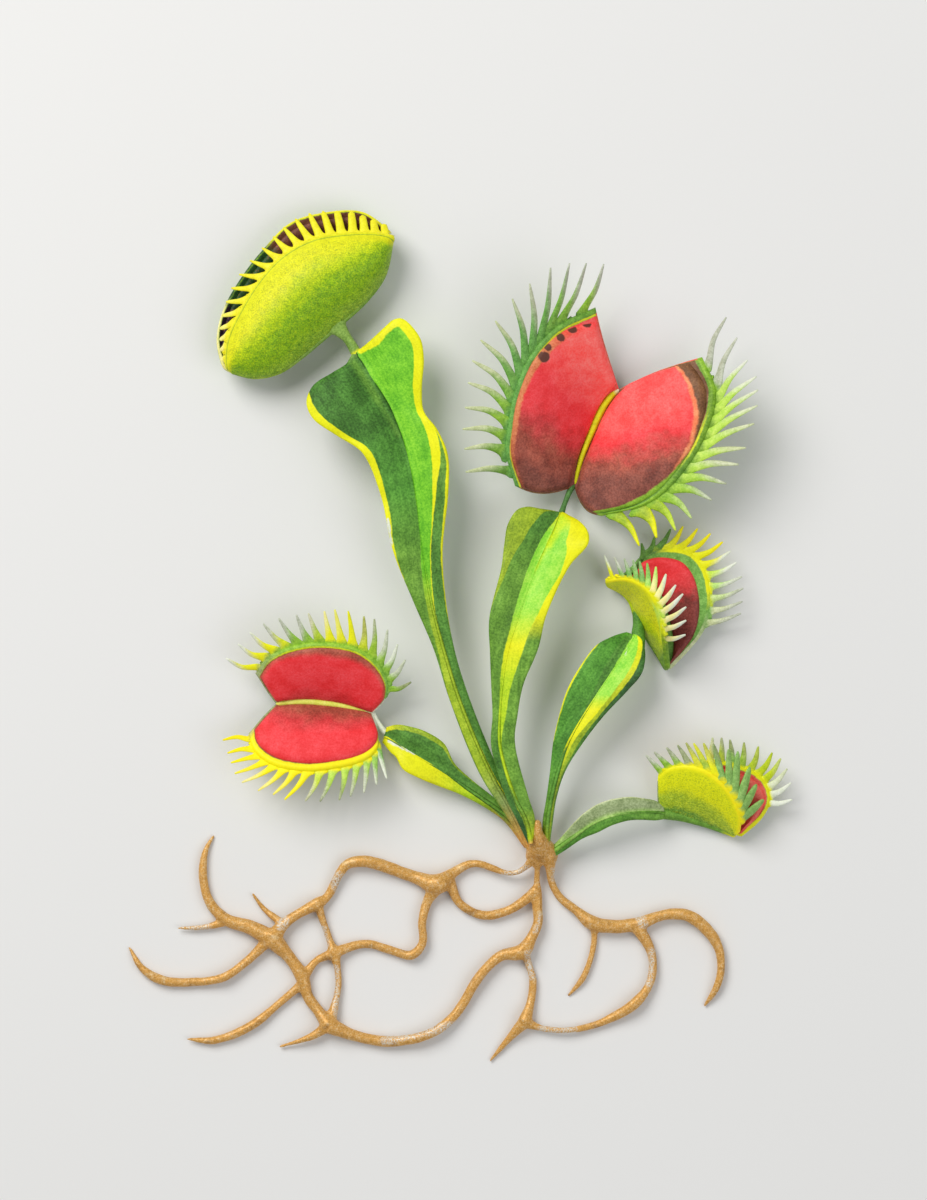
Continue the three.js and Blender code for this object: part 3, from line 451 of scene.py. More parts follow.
leaves["tall_middle"] = dict(
    fold=0.26, ripple=0.2, neckPaint="stemGreen", neckRadii=[0.4, 0.55, 0.4, 0.45, 0.6],
    neck=[[2.4, 51.6, 5.4], [3, 53.2, 4.7], [3.8, 55.5, 3.6], [4.4, 57, 2.9], [5.2, 58.6, 2.1]],
    rows=[[-1.7, 1.3, 5.7, -2.1, 1.1, -1.3, 1.5], [-2.4, 4.8, 6.2, -3.7, 4.5, -1, 5.1],
          [-4.3, 8.8, 6.6, -5.6, 8.5, -2.1, 8.8], [-6.6, 16.8, 7.3, -8, 16.8, -4.2, 17.3],
          [-6.6, 21.6, 7.6, -7.8, 21.6, -3.8, 21.6], [-6.2, 26.4, 7.8, -8, 26.4, -2.9, 26.4],
          [-5.3, 32, 8, -8.2, 31.7, -0.5, 32.3], [-3.5, 37.6, 8, -8.3, 37.1, 0.8, 37.6],
          [-0.6, 45.6, 7.2, -6.4, 45.1, 4.5, 45.4], [1, 49.1, 6.4, -5.9, 49, 7.4, 48.8],
          [2.1, 51.5, 5.7, -5.3, 52.2, 7.5, 50.7], [2.7, 53, 5.2, -3.5, 54.6, 6.4, 52.2],
          [3, 53.6, 4.8, -1, 54.4, 4.8, 53.1], [3.2, 53.9, 4.6, 1.8, 54.1, 4, 53.8]],
    strokes=[["warmLime", 0.5, [3.4, 52.6, 1.3, 48.8, 0.75], [1.3, 48.8, -1, 44.5, 0.25]]],
    bands=[
        ["olive", [-1.2, -1.2, -1.2, -1.2, -1.2, -1.15, -0.86, -0.59, -0.46, -0.4, -0.36]],
        ["0.06 bottle, 0.22 leafGreen, 0.3 midGreen 0.6, 0.75 leafGreen",
         [-0.45, -0.46, -0.31, -0.26, -0.34, -0.24, -0.28, -0.22, -0.1, -0.02, 0.2]],
        ["0.08 olive, 0.2 yellowGreen 0.4, 0.47 yellow, 0.55 lime 0.74, 0.86 yellow",
         [-0.22, -0.2, 0.13, 0.39, 0.48, 0.56, 0.86, 0.45, 0.47, 0.59, 0.65]],
        ["0 gold, 0.02 yellowGreen, 0.06 olive, 0.12 midGreen 0.48, 0.54 yellow"]])
leaves["short_right"] = dict(
    fold=0.28, ripple=0.15, neckPaint="leafGreen", neckRadii=[0.3, 0.8, 1.1, 0.85, 0.8],
    neck=[[15.9, 29.6, 5.2], [15.7, 32, 4.6], [15.5, 34.3, 3.4], [15.5, 36.2, 2.5], [15.4, 38, 1.7]],
    rows=[[0.8, 1.3, 4.3, 0.2, 1.3, 1.4, 1.3], [1, 4.5, 4.5, 0.2, 4.5, 1.8, 4.2],
          [1.6, 8.3, 4.8, 0.8, 8.3, 2.4, 8.2], [2.7, 12.8, 5.1, 1.4, 12.8, 3.8, 12.6],
          [4.3, 17.3, 5.4, 1.9, 17.4, 6.7, 17.3], [6.7, 21.6, 5.7, 2.9, 21.9, 10.2, 21.8],
          [9.3, 25.6, 5.8, 4.2, 25.9, 13.8, 25.6], [11.5, 28.8, 5.5, 6.1, 29.3, 16, 28.3],
          [13.3, 31.5, 4.8, 8.8, 32.8, 16.6, 31], [14.4, 33.4, 4.1, 11.4, 34.2, 16.3, 33.2],
          [14.9, 34.4, 3.7, 13.6, 34.9, 15.8, 34.3]],
    strokes=[["chalk", 0.12, [13.6, 31, 13.9, 32.2, 0.12]]],
    bands=[
        ["yellow", [-1.2, -1.2, -1.2, -1.2, -1, -0.97, -0.96, -0.95, -0.97, -1.2, -1.2]],
        ["0 gold, 0.03 olive, 0.1 midGreen, 0.35 richGreen",
         [0.14, 0.14, 0.14, 0.06, -0.1, -0.17, -0.22, -0.33, -0.4, -0.45, -0.5]],
        ["leafGreen", [0.31, 0.31, 0.31, 0.18, -0.03, 0, -0.07, -0.09, -0.12, -0.16, -0.1]],
        ["0.3 olive, 0.42 yellow 0.52, 0.58 lime",
         [0.64, 0.64, 0.64, 0.52, 0.39, 0.6, 0.56, 0.56, 0.57, 0.59, 0.5]],
        ["0.4 olive, 0.9 yellow", [0.8, 0.8, 0.8, 0.8, 0.74, 0.78, 0.76, 0.76, 0.8, 0.89, 1]],
        ["0.05 midGreen, 0.4 leafGreen, 0.6 bottle, 1 leafGreen"]])
leaves["low_right"] = dict(
    fold=0.3, ripple=0.1, soft={2: 0.45}, neckPaint="midGreen", neckRadii=[0.3, 0.45, 0.45, 0.5, 0.5],
    neck=[[15.4, 6.2, 3.9], [16.8, 6.2, 3.4], [18.4, 6.2, 2.7], [19.6, 6, 2.3], [20.9, 5.7, 2.1]],
    rows=[[1.1, -0.6, 2.8, 0.8, 0, 1.6, -1.3], [3.2, 0.8, 3.1, 2.4, 1.3, 3.8, 0],
          [5.8, 2.7, 3.6, 4.6, 3.8, 6.6, 1.9], [8.2, 4.3, 4.1, 6.9, 6.1, 9, 2.9],
          [10.7, 5.4, 4.5, 9.8, 7.8, 11.2, 4], [13.8, 6.1, 4.5, 13.8, 8.6, 13.9, 4.8],
          [16.1, 6.2, 3.8, 16.1, 8.4, 16.1, 4.9], [18.4, 6.1, 2.9, 18.4, 7.9, 18.4, 4.8],
          [19.7, 5.9, 2.4, 19.7, 6.9, 19.7, 5]],
    bands=[
        # the pale band along the upper margin is a painted highlight
        ["paleTooth", [-1.2, -1.2, -0.95, -0.93, -0.94, -0.95, -0.95, -0.95, -1, -1.2, -1.2]],
        ["0.05 paleLime, 0.25 leafGrey",
         [-0.24, -0.24, -0.25, -0.25, -0.25, -0.24, -0.22, -0.25, -0.3, -0.3, -0.3]],
        ["0.05 keelGreen, 0.4 leafLight", [0.63, 0.5, 0.3, 0.14, 0.1, 0.05, 0, -0.05, -0.1, -0.2, -0.3]],
        ["0 richGreen, 1 midGreen"]])
leaves["short_left"] = dict(
    fold=0.3, ripple=0.12, neckPaint="chalk", neckRadii=[0.4, 0.5, 0.45, 0.4, 0.5],
    neck=[[-22.6, 16.8, 2.6], [-23.8, 17.8, 2.2], [-25.2, 19.2, 1.9], [-26.2, 20.6, 1.8], [-27, 22, 1.8]],
    rows=[[-1.9, 0.8, 1.9, -2.6, 0.3, -1.4, 1.4], [-5.1, 5.1, 1.8, -5.9, 4.6, -4.3, 5.8],
          [-8.3, 7.5, 2, -9.1, 6.9, -7.7, 8.6], [-12.2, 10.2, 2.4, -13.1, 9, -11.2, 11.4],
          [-15, 12.2, 2.8, -16.2, 10.2, -13.8, 13.9], [-17.8, 13.9, 3.1, -19.4, 11.5, -15.5, 17.1],
          [-20.5, 15.5, 3.1, -22.1, 13, -18.4, 19], [-22.2, 16.6, 2.8, -23.2, 14.9, -20.9, 19.8],
          [-23.7, 17.6, 2.4, -24, 15.6, -23.1, 20.1], [-25, 18.3, 2, -25.4, 17.3, -24.7, 19.7]],
    strokes=[["chalk", 0.12, [-24.2, 17.3, -20.4, 15.3, 0.28]]],
    bands=[
        ["0.1 gold, 0.2 olive, 0.3 yellowGreen, 0.5 trapYellow, 0.75 yellow",
         [-1.2, -1, -0.5, -0.4, -0.24, -0.06, 0.06, 0.03, -0.02, 0, 0.1]],
        ["0.04 gold, 0.14 midGreen, 0.35 leafGreen",
         [1.2, 1.2, 1.2, 0.95, 0.86, 0.85, 0.82, 0.8, 0.76, 0.68, 0.5]],
        ["0.8 olive, 1 yellow"]])
blade = dict(rootHalf=0.8, half=0.55, edgeHalf=0.35, rib=0.25, ribWidth=0.5, puff=0.07, rowStep=0.45,
             columns=57, crowding=1.35, edgeRound=0.5, edgeLeast=0.06, tipRound=0.6, tipLeast=0.1,
             waves=[0.62, 1.13], waveShift=[1.7, 0.7], smallWave=0.6, wavyFrom=[1.5, 6], soft=0.09,
             neckRings=26, neckSides=16, neckHalf=0.9, neckBlend=[0.1, 0.4], neckRun=8)


def bladeFinish(name, leaf):
    made = Finish(name + "_paint")
    length = made.field("length")
    colour = made.ramp(length, leaf["bands"][0][0])
    for k, (tones, *_) in enumerate(leaf["bands"][1:], 1):
        soft = leaf.get("soft", {}).get(k, blade["soft"])
        edge = made.wavering(made.field(f"edge{k}"), "band")
        colour = made.over(colour, made.ramp(length, tones), made.mask(edge, -soft, soft))
    colour = made.over(colour, leaf["neckPaint"], made.mask(made.field("neck"), "neck"))
    for k, (tone, soft, *_) in enumerate(leaf.get("strokes", [])):
        edge = made.wavering(made.field(f"stroke{k}"), "stroke")
        colour = made.over(colour, tone, made.mask(edge, soft, -soft))
    return made.finished("leaf", made.washedAs("leaf", colour))


def makeLeaf(name, leaf):
    stations = np.array(leaf["rows"], float)
    s = np.linspace(0, 1, int(stepsAlong(stations[:, :3])[-1] / blade["rowStep"]))
    u = np.linspace(-1, 1, blade["columns"])
    u = np.sign(u) * (1 - (1 - abs(u)) ** blade["crowding"])
    middle = smoothCurve(stations[:, :3], s)
    margins = []
    for x, y in (stations[:, 3:5].T, stations[:, 5:7].T):
        width = np.hypot(x - stations[:, 0], y - stations[:, 1])
        margins.append(smoothCurve(np.column_stack([x, y, stations[:, 2] + leaf["fold"] * width]), s))
    margin = np.where(u[None, :, None] < 0, margins[0][:, None], margins[1][:, None]) - middle[:, None]
    grid = middle[:, None] + margin * abs(u)[None, :, None]
    halfWidth = np.linalg.norm(margin, axis=-1)
    run = stepsAlong(middle)[:, None]
    # the wings swell a little between rib and margin, and their margins ripple
    grid[..., 2] += blade["puff"] * halfWidth * arch(abs(u), 1.2)
    long, short = (run * wave for wave in blade["waves"])
    sideShift, shift = blade["waveShift"]
    ripple = np.sin(long + sideShift * np.sign(u)) + blade["smallWave"] * np.sin(short + shift)
    grid[..., 2] += leaf["ripple"] * ripple * abs(u) ** 3 * softStep(*blade["wavyFrom"], halfWidth)
    half = along([blade["rootHalf"], blade["half"], blade["half"]], s)[:, None]
    half = half + (blade["edgeHalf"] - half) * abs(u)
    half = half * roundedEdge((1 - abs(u)) * halfWidth, blade["edgeRound"], blade["edgeLeast"])
    half = half * roundedEdge(run[-1] - run, blade["tipRound"], blade["tipLeast"])
    half = half + blade["rib"] * np.exp(-(u * halfWidth / blade["ribWidth"]) ** 2)
    fields = {f"edge{k}": (u - along(upTo, s)[:, None]) * halfWidth
              for k, (_, upTo) in enumerate(leaf["bands"][:-1], 1)}
    for k, (_, _, *lines) in enumerate(leaf.get("strokes", [])):
        fields[f"stroke{k}"] = nearLines(grid, lines)
    parts = [closedSheet(grid, half, half, length=s[:, None], run=run, side=u * halfWidth, **fields)]

    places = np.linspace(0, 1, blade["neckRings"])
    radius = smoothCurve([[r] for r in leaf["neckRadii"]], places)[:, 0]
    fields = {field: away if "stroke" in field else -1 for field in fields}
    parts.append(tube(smoothCurve(leaf["neck"], places), radius, np.minimum(radius, blade["neckHalf"]),
                      blade["neckSides"], neck=softStep(*blade["neckBlend"], places), length=1,
                      run=places * blade["neckRun"], **fields))
    meshPiece(name + "_leaf", parts, [name + "_stalk"], bladeFinish(name, leaf))


for leafName, leaf in leaves.items():
    makeLeaf(leafName, leaf)
print("leaves made")

# traps

# hinge is the fold between the lobes, with a rod along it; a rim runs the same way. bulge swells a lobe along
# z, bow curves its ends. Teeth stand on the span of the rim and reach the curve of tips; lean is how much they
# rise, bend how they bow, body half their width, taper how fast it shrinks, belly how leaf-shaped they are and
# web how far the skin between them climbs.
# skin is painted over mix[0] * depth + mix[1] * length + mix[2], from hinge to rim and from end to end; all
# other tones run along the lobe, or along its row of teeth. inner is the side that closes on the prey, rimTone
# the band that the teeth grow from, strip a second band inside it and ends the two side edges; line is how far
# a thin dark line lies from the rim, foot where the lower tip of the lobe turns olive.
# pad is the part of a lobe, from hinge to rim, that its lining covers. The tones of a lining run over
# mix[0] * length + mix[1] * depth. Its bands lie by the rim, with their width at even steps along the lobe,
# and its spots are [x, y, radius] blots.
traps = {}
traps["tall_left"] = dict(
    rod=[0.4, 0.5, 0.55, 0.6, 0.6, 0.5, 0.4], speck=0.5, fold="0 trapLime, 0.4 trapGrey, 1 trapDark",
    hinge=[[-49.6, 76.6, 5], [-45.9, 75.7, 4.9], [-41.9, 76.5, 4.8], [-38.4, 78.9, 4.8], [-35.2, 81.6, 4.8],
           [-31.7, 84.6, 4.8], [-27.8, 88.2, 4.8], [-25.1, 92, 4.9], [-24, 97.1, 5]],
    front=dict(
        bulge=3.8, edge=0.5, teeth=20, span=[0.03, 0.955], lean=-0.45, jitter=0.03, bend=[0],
        body=[0.45, 0.42, 0.5, 0.55, 0.6, 0.55], taper=[0.4, 0.4, 0.9, 0.6, 0.16, 0.16], web=[0.5],
        rim=[[-50.4, 77.4, 5.6], [-49.8, 82.1, 6], [-47.7, 86.7, 6.3], [-44.6, 91.5, 6.4], [-41, 95.2, 6.5],
             [-36.6, 97.6, 6.4], [-32.2, 98.4, 6.3], [-27.5, 98.6, 6.1], [-23.4, 98.1, 5.6]],
        tips=[[-51, 78.1], [-51.3, 83.5], [-49.1, 90.4], [-43.7, 97.1], [-37.8, 101.5], [-30.7, 102],
              [-25.1, 100]],
        innerUp=False, mix=[1, -0.14, 0.26], rimWidth=0.5, stripWidth=1.3, line=0.95,
        # painted shade and light: greyer green by the hinge, yellower toward the rim and the left end
        skin="0.06 trapGrey, 0.22 trapShade, 0.4 trapGreen 0.6, 0.77 trapLime, 0.95 trapYellow",
        inner="umber", rimTone="ribYellow", strip="trapYellow", ends="0 paleLime, 1 trapYellow",
        blade="ribYellow", tip="0 cream, 0.3 ribYellow"),
    back=dict(
        bulge=-4.2, edge=0.4, pad=[0.2, 0.95],
        rim=[[-50.8, 77.3, 4.4], [-51.7, 81.5, 3.9], [-50.8, 86.1, 3.7], [-47.8, 91.5, 3.6],
             [-44.3, 96, 3.6], [-40, 100.2, 3.6], [-34.7, 101.8, 3.7], [-28.6, 101.9, 3.9],
             [-23.9, 98.6, 4.4]],
        # its inside, rim and teeth are plum and bottle green: painted shadow in the shut trap, seen between the
        # front teeth
        rimWidth=0.12, skin="0 trapDark, 1 trapGreen", inner="0.27 plum, 0.3 bottle 0.5, 0.54 ribBrown",
        rimTone="0.25 cream, 0.3 bottle 0.5, 0.55 ribYellow", ends="0 cream, 1 chalk", blade="bottle",
        tip="bottle",
        lining=dict(slot="lining_brown", tones="0.27 plum, 0.3 bottle 0.5, 0.54 ribBrown")))
traps["tall_middle"] = dict(
    rodLift=1.1, rod=[0.3, 0.4, 0.5, 0.6, 0.68, 0.62, 0.35], speck=0.3, fold="0.9 trapYellow, 1 chalk",
    hinge=[[5.4, 58.1, 2.2], [5.8, 60.3, 1.8], [6.4, 62.6, 1.5], [7.2, 64.8, 1.2], [8.1, 67, 1],
           [9, 69.2, 1], [10.1, 71.2, 1.2], [11.4, 72.8, 1.6], [12.5, 73.6, 2.2]],
    front=dict(
        bulge=1.4, bow=[1.3, -0.4], pad=[0.065, 0.95], teeth=14, span=[0.05, 0.96], lean=0.35, belly=0.1,
        slim=0.45, jitter=0.06, bend=[0.5, 0.8, 0.8, 0.6, 0.6], body=[0.55, 0.6, 0.6, 0.62, 0.55],
        web=[1.4],
        rim=[[-4.2, 58.2, 5.8], [-5.8, 64, 8], [-5.4, 68, 8.8], [-4.8, 71.7, 9.3], [-3.7, 75.2, 9.6],
             [-2.1, 78.6, 9.6], [0, 81.4, 9.4], [2.6, 83.8, 8.9], [8.6, 86.6, 7.2]],
        tips=[[-12.3, 60.3], [-12.4, 71.8], [-8.6, 83.4], [0.8, 92.6], [10.2, 93.9]],
        # inner, like the lining: cocoa toward the lower end is painted shade, coral toward the top a painted
        # highlight
        rimWidth=0.85, stripWidth=0.3, inner="0 cocoa, 0.3 rust, 0.6 red, 0.85 coral",
        rimTone="0.5 rimGreen, 1 midGreen", strip="0 yellow, 0.3 clay 0.6, 0.75 yellow",
        ends="0.5 rust, 0.6 coral", blade="0 midGreen, 0.25 springGreen, 0.5 rimGreen 0.75, 1 springGreen",
        tip="0.5 paleTooth, 0.8 ashTooth",
        lining=dict(
            # cocoa and rust toward the lower end are painted shade, coral toward the top a painted highlight
            tones="0.05 cocoa, 0.22 rust, 0.37 blood, 0.47 red 0.6, 0.75 coral, 0.9 coralPale",
            spots=[[0.1, 78.8, 0.85], [0.75, 80.3, 0.55], [2.75, 81.9, 0.62], [4.6, 83.3, 0.72],
                   [6.95, 84.3, 0.75], [8.7, 84.8, 0.5]],
            bands=[dict(width=[0.5, 0.7, 0.9, 0.9, 1.2, 1.2, 0.6], tones="0 rust, 0.3 clay 0.75, 0.95 coral")])),
    back=dict(
        bulge=1.4, bow=[1.3, 0.6], pad=[0.065, 0.935], teeth=15, span=[0.035, 0.965], lean=0.35, belly=0.12,
        slim=0.45, jitter=0.06, bend=[0.7, 0.7, 0.5, 0.4, 0.8], body=[0.48, 0.55, 0.6, 0.6, 0.5],
        web=[3.2, 2.8, 2.2, 2, 2],
        rim=[[9.6, 53.4, 5.2], [16, 54.9, 7.1], [18.9, 56.5, 7.9], [21.3, 58.7, 8.6], [23.4, 61.3, 9],
             [25.3, 64.2, 9.2], [26.7, 67.4, 9.2], [27.7, 70.6, 9], [27.8, 73.8, 8.5], [25.6, 78.7, 7]],
        tips=[[15.8, 48.3], [23.7, 52.5], [31.1, 60.4], [34.1, 69], [34, 76.1], [29.3, 85.1]],
        rimWidth=0.8, stripWidth=0.35, inner="0 cocoa, 0.4 rust, 0.6 salmon, 0.75 bark",
        rimTone="0.2 springGreen, 0.4 midGreen, 0.6 rimOlive 0.85, 1 springGreen",
        strip="0 midGreen, 0.4 rimOlive, 0.6 yellow, 0.8 rimOlive", ends="0.5 cocoa, 0.6 coral",
        blade="0.12 oliveLime, 0.2 springGreen, 0.45 limeTooth 0.85, 0.93 ashTooth",
        tip="0.1 yellow, 0.16 limeTooth, 0.3 ashTooth, 0.5 paleTooth, 0.85 chalk, 0.95 ashTooth",
        lining=dict(
            mix=[1, -0.35], tones="0.07 cocoa, 0.2 rust, 0.36 red, 0.52 coral",
            bands=[dict(width=[0, 0, 0, 0.6, 0.7, 1.5, 2.7, 2.4], tones="0.3 rust, 0.5 salmon"),
                   dict(width=[0.9, 0.7, 0.5, 0.2, 0.1, 0.7, 2, 1.9], tones="0 cocoa, 0.35 rust, 0.6 bark"),
                   # this band's springGreen is lighter than its own green: painted light against the shade by
                   # the pad
                   dict(width=[0.8, 1.2, 0.8, 0.2, -0.3, -0.5, -0.5, -0.5], tones="springGreen")])))
traps["short_right"] = dict(
    rod=[0.45, 0.5, 0.6, 0.7, 0.75, 0.7, 0.6, 0.5, 0.45], speck=0.55,
    fold="0.35 lobeOlive, 0.6 midGreen, 1 stemGreen",
    hinge=[[10.4, 42.6, 2.2], [13.3, 41.1, 1.7], [14.6, 39.7, 1.5], [15.4, 37.6, 1.4], [16.6, 35, 1.4],
           [18.7, 31.5, 1.5], [20.2, 28.8, 1.8]],
    front=dict(
        bulge=0.4, edge=0.5, teeth=13, span=[0.05, 0.87], lean=-0.1, belly=0.25, jitter=0.07,
        bend=[0.1, 0.2, 0.3], body=[0.3, 0.35, 0.36, 0.4, 0.4, 0.38], web=[0.4],
        rim=[[10.2, 43.4, 3.6], [13.4, 43.7, 7.4], [15.5, 43, 8.8], [17.3, 41.6, 9.6], [18.6, 39.7, 9.8],
             [19.4, 37.1, 9.2], [19.7, 34.2, 7.8], [20.3, 29.1, 3.2]],
        tips=[[9.9, 47.2], [14.4, 46.6], [18.2, 45.4], [22.6, 41], [23.2, 34.6]],
        innerUp=False, mix=[0.5, -0.7, 0.7], rimWidth=0.8, stripWidth=0.6, foot=0.85,
        skin="0.22 olive, 0.4 lobeOlive, 0.54 trapYellow, 1 lobeYellow", inner="darkRed",
        rimTone="0 sharpYellow, 0.55 yellow, 0.66 limeTooth, 0.76 yellow, 0.86 olive",
        strip="0 lobeYellow, 0.5 yellow, 0.6 limeTooth, 0.9 lobeYellow", ends="0 lobeOlive, 1 midGreen",
        blade="0 yellow, 0.05 mint 0.35, 0.42 paleLime, 0.5 cream",
        tip="0 chalk, 0.1 ashTooth, 0.4 mint, 0.5 paleLime, 0.6 chalk"),
    back=dict(
        bulge=-0.5, edge=0.5, pad=[0.38, 0.84], teeth=13, span=[0.1, 0.76], lean=0.22, jitter=0.06,
        bend=[0.2, 0.3, 0.3], body=[0.42, 0.5, 0.5, 0.45, 0.45], web=[0.6],
        rim=[[15.2, 44.3, 2.4], [16.2, 46.7, 2.6], [18.4, 48, 2.8], [21.4, 48.2, 3], [24.2, 47.4, 3.2],
             [26.1, 45.1, 3.3], [27, 41.9, 3.3], [27, 38.4, 3.1], [25.9, 35, 2.9], [23.8, 32.3, 2.5],
             [20.6, 29.1, 2]],
        tips=[[16, 49.2], [22.8, 51.9], [29.2, 49.4], [32.2, 43.8], [32, 38.1]],
        rimWidth=0.6, inner="0 wingDark, 0.3 stripGreen",
        rimTone="0.2 wingDark, 0.28 yellow 0.6, 0.7 stripGreen, 0.85 paleTooth",
        ends="0 wingDark, 1 paleTooth",
        blade="0.16 wingDark, 0.2 stripGreen, 0.26 yellow 0.6, 0.7 paleLime, 0.9 paleTooth",
        tip="0.18 wingDark, 0.26 sharpYellow 0.5, 0.58 chalk 0.7, 0.8 ashTooth",
        lining=dict(mix=[1, -0.12], tones="0.34 red, 0.46 blood, 0.52 darkRed")))
traps["low_right"] = dict(
    rod=[1.15, 1, 0.85, 0.75, 0.7, 0.62, 0.5], speck=0.55, fold="0.8 midGreen, 0.95 yellow",
    hinge=[[18.7, 6.2, 2.1], [20.3, 5.9, 1.8], [21.9, 5.6, 1.6], [23.5, 5.2, 1.5], [25.1, 4.7, 1.4],
           [26.7, 4.2, 1.3], [28.3, 3.6, 1.3], [29.8, 3, 1.4], [31.2, 2.4, 1.6]],
    front=dict(
        bulge=0.7, edge=0.5, teeth=13, span=[0.04, 0.86], lean=0, belly=0.1, jitter=0.07,
        bend=[0.1, 0.2, 0.2], body=[0.46, 0.42, 0.42, 0.6, 0.82, 0.82],
        taper=[0.6, 0.7, 0.7, 0.5, 0.42, 0.42], web=[0.6],
        rim=[[18.6, 11.8, 4.8], [20.3, 13.3, 6.2], [22.9, 13.8, 7.2], [25.4, 13.4, 7.8], [27.5, 12.3, 7.8],
             [29.3, 10.7, 7.4], [30.7, 8.8, 6.6], [31.7, 6.7, 5.6], [32, 4.8, 4.3], [31.7, 2.9, 2.8]],
        tips=[[16.5, 15.2], [21.4, 17.1], [25.6, 17.4], [31.5, 15.7], [35.7, 8.6]],
        innerUp=False, mix=[1, 0.12, 0], rimWidth=0.7, stripWidth=0.4,
        skin="0.16 midGreen, 0.25 lobeLow 0.42, 0.6 lobeYellow", inner="brick",
        rimTone="0 yellow, 0.5 sharpYellow", strip="0 lobeYellow, 0.5 yellow", ends="0 greyGreen, 1 yellow",
        blade="0.15 springGreen, 0.25 edgeGrey, 0.36 yellow, 0.44 stripGreen, 0.5 yellow, 0.56 tooth",
        tip="0 ashTooth, 0.3 edgeGrey, 0.45 yellow, 0.55 edgeGrey, 0.7 tooth"),
    back=dict(
        bulge=-0.4, pad=[0.56, 0.9], teeth=10, span=[0.26, 0.8], lean=0.2, belly=0.1, jitter=0.06,
        bend=[0.1, 0.3, 0.3], body=[0.45, 0.5, 0.5, 0.42], web=[0.5],
        rim=[[19.7, 11.5, 2.5], [22.6, 13.3, 2.7], [25.8, 13.9, 2.9], [29, 14.2, 3], [32, 13.4, 3],
             [34.6, 12.3, 3], [36.2, 10.4, 2.9], [36.6, 8, 2.8], [35.5, 5.6, 2.6], [32, 2.2, 2]],
        tips=[[27.2, 18.2], [30.6, 17.8], [36, 16.3], [39.2, 13.6], [40.2, 8.3]],
        rimWidth=0.45, inner="brick", rimTone="yellow", ends="yellow",
        blade="0 yellow, 0.2 mint, 0.5 lobeOlive 0.7, 0.8 chalk",
        tip="0 paleTooth, 0.2 edgeGrey, 0.6 lobeOlive, 0.75 paleTooth, 0.85 chalk",
        lining=dict(tones="brick")))
traps["short_left"] = dict(
    rodLift=1.1, rod=[0.35, 0.5, 0.62, 0.7, 0.7, 0.6, 0.4], speck=0.3, fold="0 chalk, 0.1 straw",
    hinge=[[-26.9, 21.9, 1.8], [-28.6, 22.4, 1.4], [-30.6, 22.9, 1.1], [-32.5, 23.3, 0.9],
           [-34.6, 23.6, 0.8], [-36.6, 23.8, 0.8], [-38.7, 23.8, 1], [-40.6, 23.6, 1.3], [-42.4, 23.4, 1.8]],
    front=dict(
        bulge=1, pad=[0.075, 0.925], padEnd=0.02, teeth=16, span=[0.05, 0.965], lean=0.3, slim=0.45,
        jitter=0.08, bend=[-0.5, -0.4, 0, 0.1, 0.7], body=[0.5], web=[1.5],
        rim=[[-24.5, 24.6, 4.4], [-24.4, 27, 5.4], [-25.4, 29.3, 6.3], [-27.2, 31.2, 6.9],
             [-29.7, 32.6, 7.3], [-32.5, 33.2, 7.4], [-35.4, 33.4, 7.3], [-38.3, 33.1, 6.9],
             [-41.2, 32.3, 6.3], [-43.8, 30.8, 5.5], [-45.6, 28.3, 4.6]],
        tips=[[-20.5, 27.2], [-24.2, 35.5], [-31, 38.4], [-36.8, 38.2], [-44.3, 36.5], [-50.7, 30.7]],
        rimWidth=0.6, stripWidth=0.2, skin="0 greyGreen, 1 midGreen", inner="rust",
        rimTone="0 stripGreen, 0.3 springGreen 0.8, 1 edgeGrey",
        strip="0 olive, 0.3 yellow 0.8, 1 edgeGrey", ends="0.4 chalk, 0.6 edgeGrey",
        blade="0.25 springGreen, 0.4 yellow 0.55, 0.62 springGreen 0.75, 0.82 yellow",
        tip="0 edgeGrey, 0.12 chalk, 0.3 edgeGrey, 0.4 yellow, 0.55 cream, 0.62 ashTooth 0.78, 0.85 chalk",
        lining=dict(
            # blood red toward the hinge is painted shade
            mix=[0, 1], tones="0.1 blood, 0.3 red",
            bands=[dict(width=[0.3, 0.4, 0.9, 1.2, 0.9, 0.4, 0.3], tones="0 clay, 0.2 rust", blur=0.6)])),
    back=dict(
        bulge=1, pad=[0.075, 0.89], padEnd=0.03, teeth=15, span=[0.09, 0.965], lean=0.3, slim=0.45,
        jitter=0.07, bend=[0, -0.2, -0.4, -0.3, 0.4], body=[0.45, 0.5, 0.5, 0.5, 0.4], web=[0.8],
        rim=[[-26.1, 18.2, 4], [-26.1, 16.3, 4.9], [-27.5, 14.7, 5.7], [-30.1, 13.6, 6.3], [-33.1, 13, 6.7],
             [-36.5, 12.6, 6.8], [-39.7, 12.8, 6.7], [-42.4, 13.4, 6.3], [-44.6, 14.6, 5.7],
             [-46.1, 16.3, 4.9], [-46.7, 18.7, 4.2]],
        tips=[[-24.6, 11], [-31.2, 8.2], [-40.6, 8.2], [-48.2, 11.5], [-51, 17.6]],
        rimWidth=1.15, skin="0 greyGreen, 1 midGreen", inner="rust",
        rimTone="0 stripGreen, 0.12 sharpYellow 0.95, 1 edgeGrey", ends="0.4 chalk, 0.6 edgeGrey",
        blade="0 mint, 0.2 limeTooth 0.4, 0.5 sharpYellow",
        tip="0 chalk, 0.3 edgeGrey, 0.42 ashTooth, 0.5 sharpYellow, 0.7 cream, 0.8 sharpYellow",
        # rust and blood toward the hinge are painted shade
        lining=dict(mix=[0, 1], tones="0.2 rust, 0.34 blood, 0.5 red")))
lobeUsual = dict(bow=[0, 0], teeth=0, edge=0.72, padEnd=0.012, slim=0.5, belly=0, taper=[0.75],
                 innerUp=True, mix=[1, 0, 0], skin="0 stemGreen, 1 rimGreen", stripWidth=0)
liningUsual = dict(slot="lining_red", mix=[1, 0], bands=[])
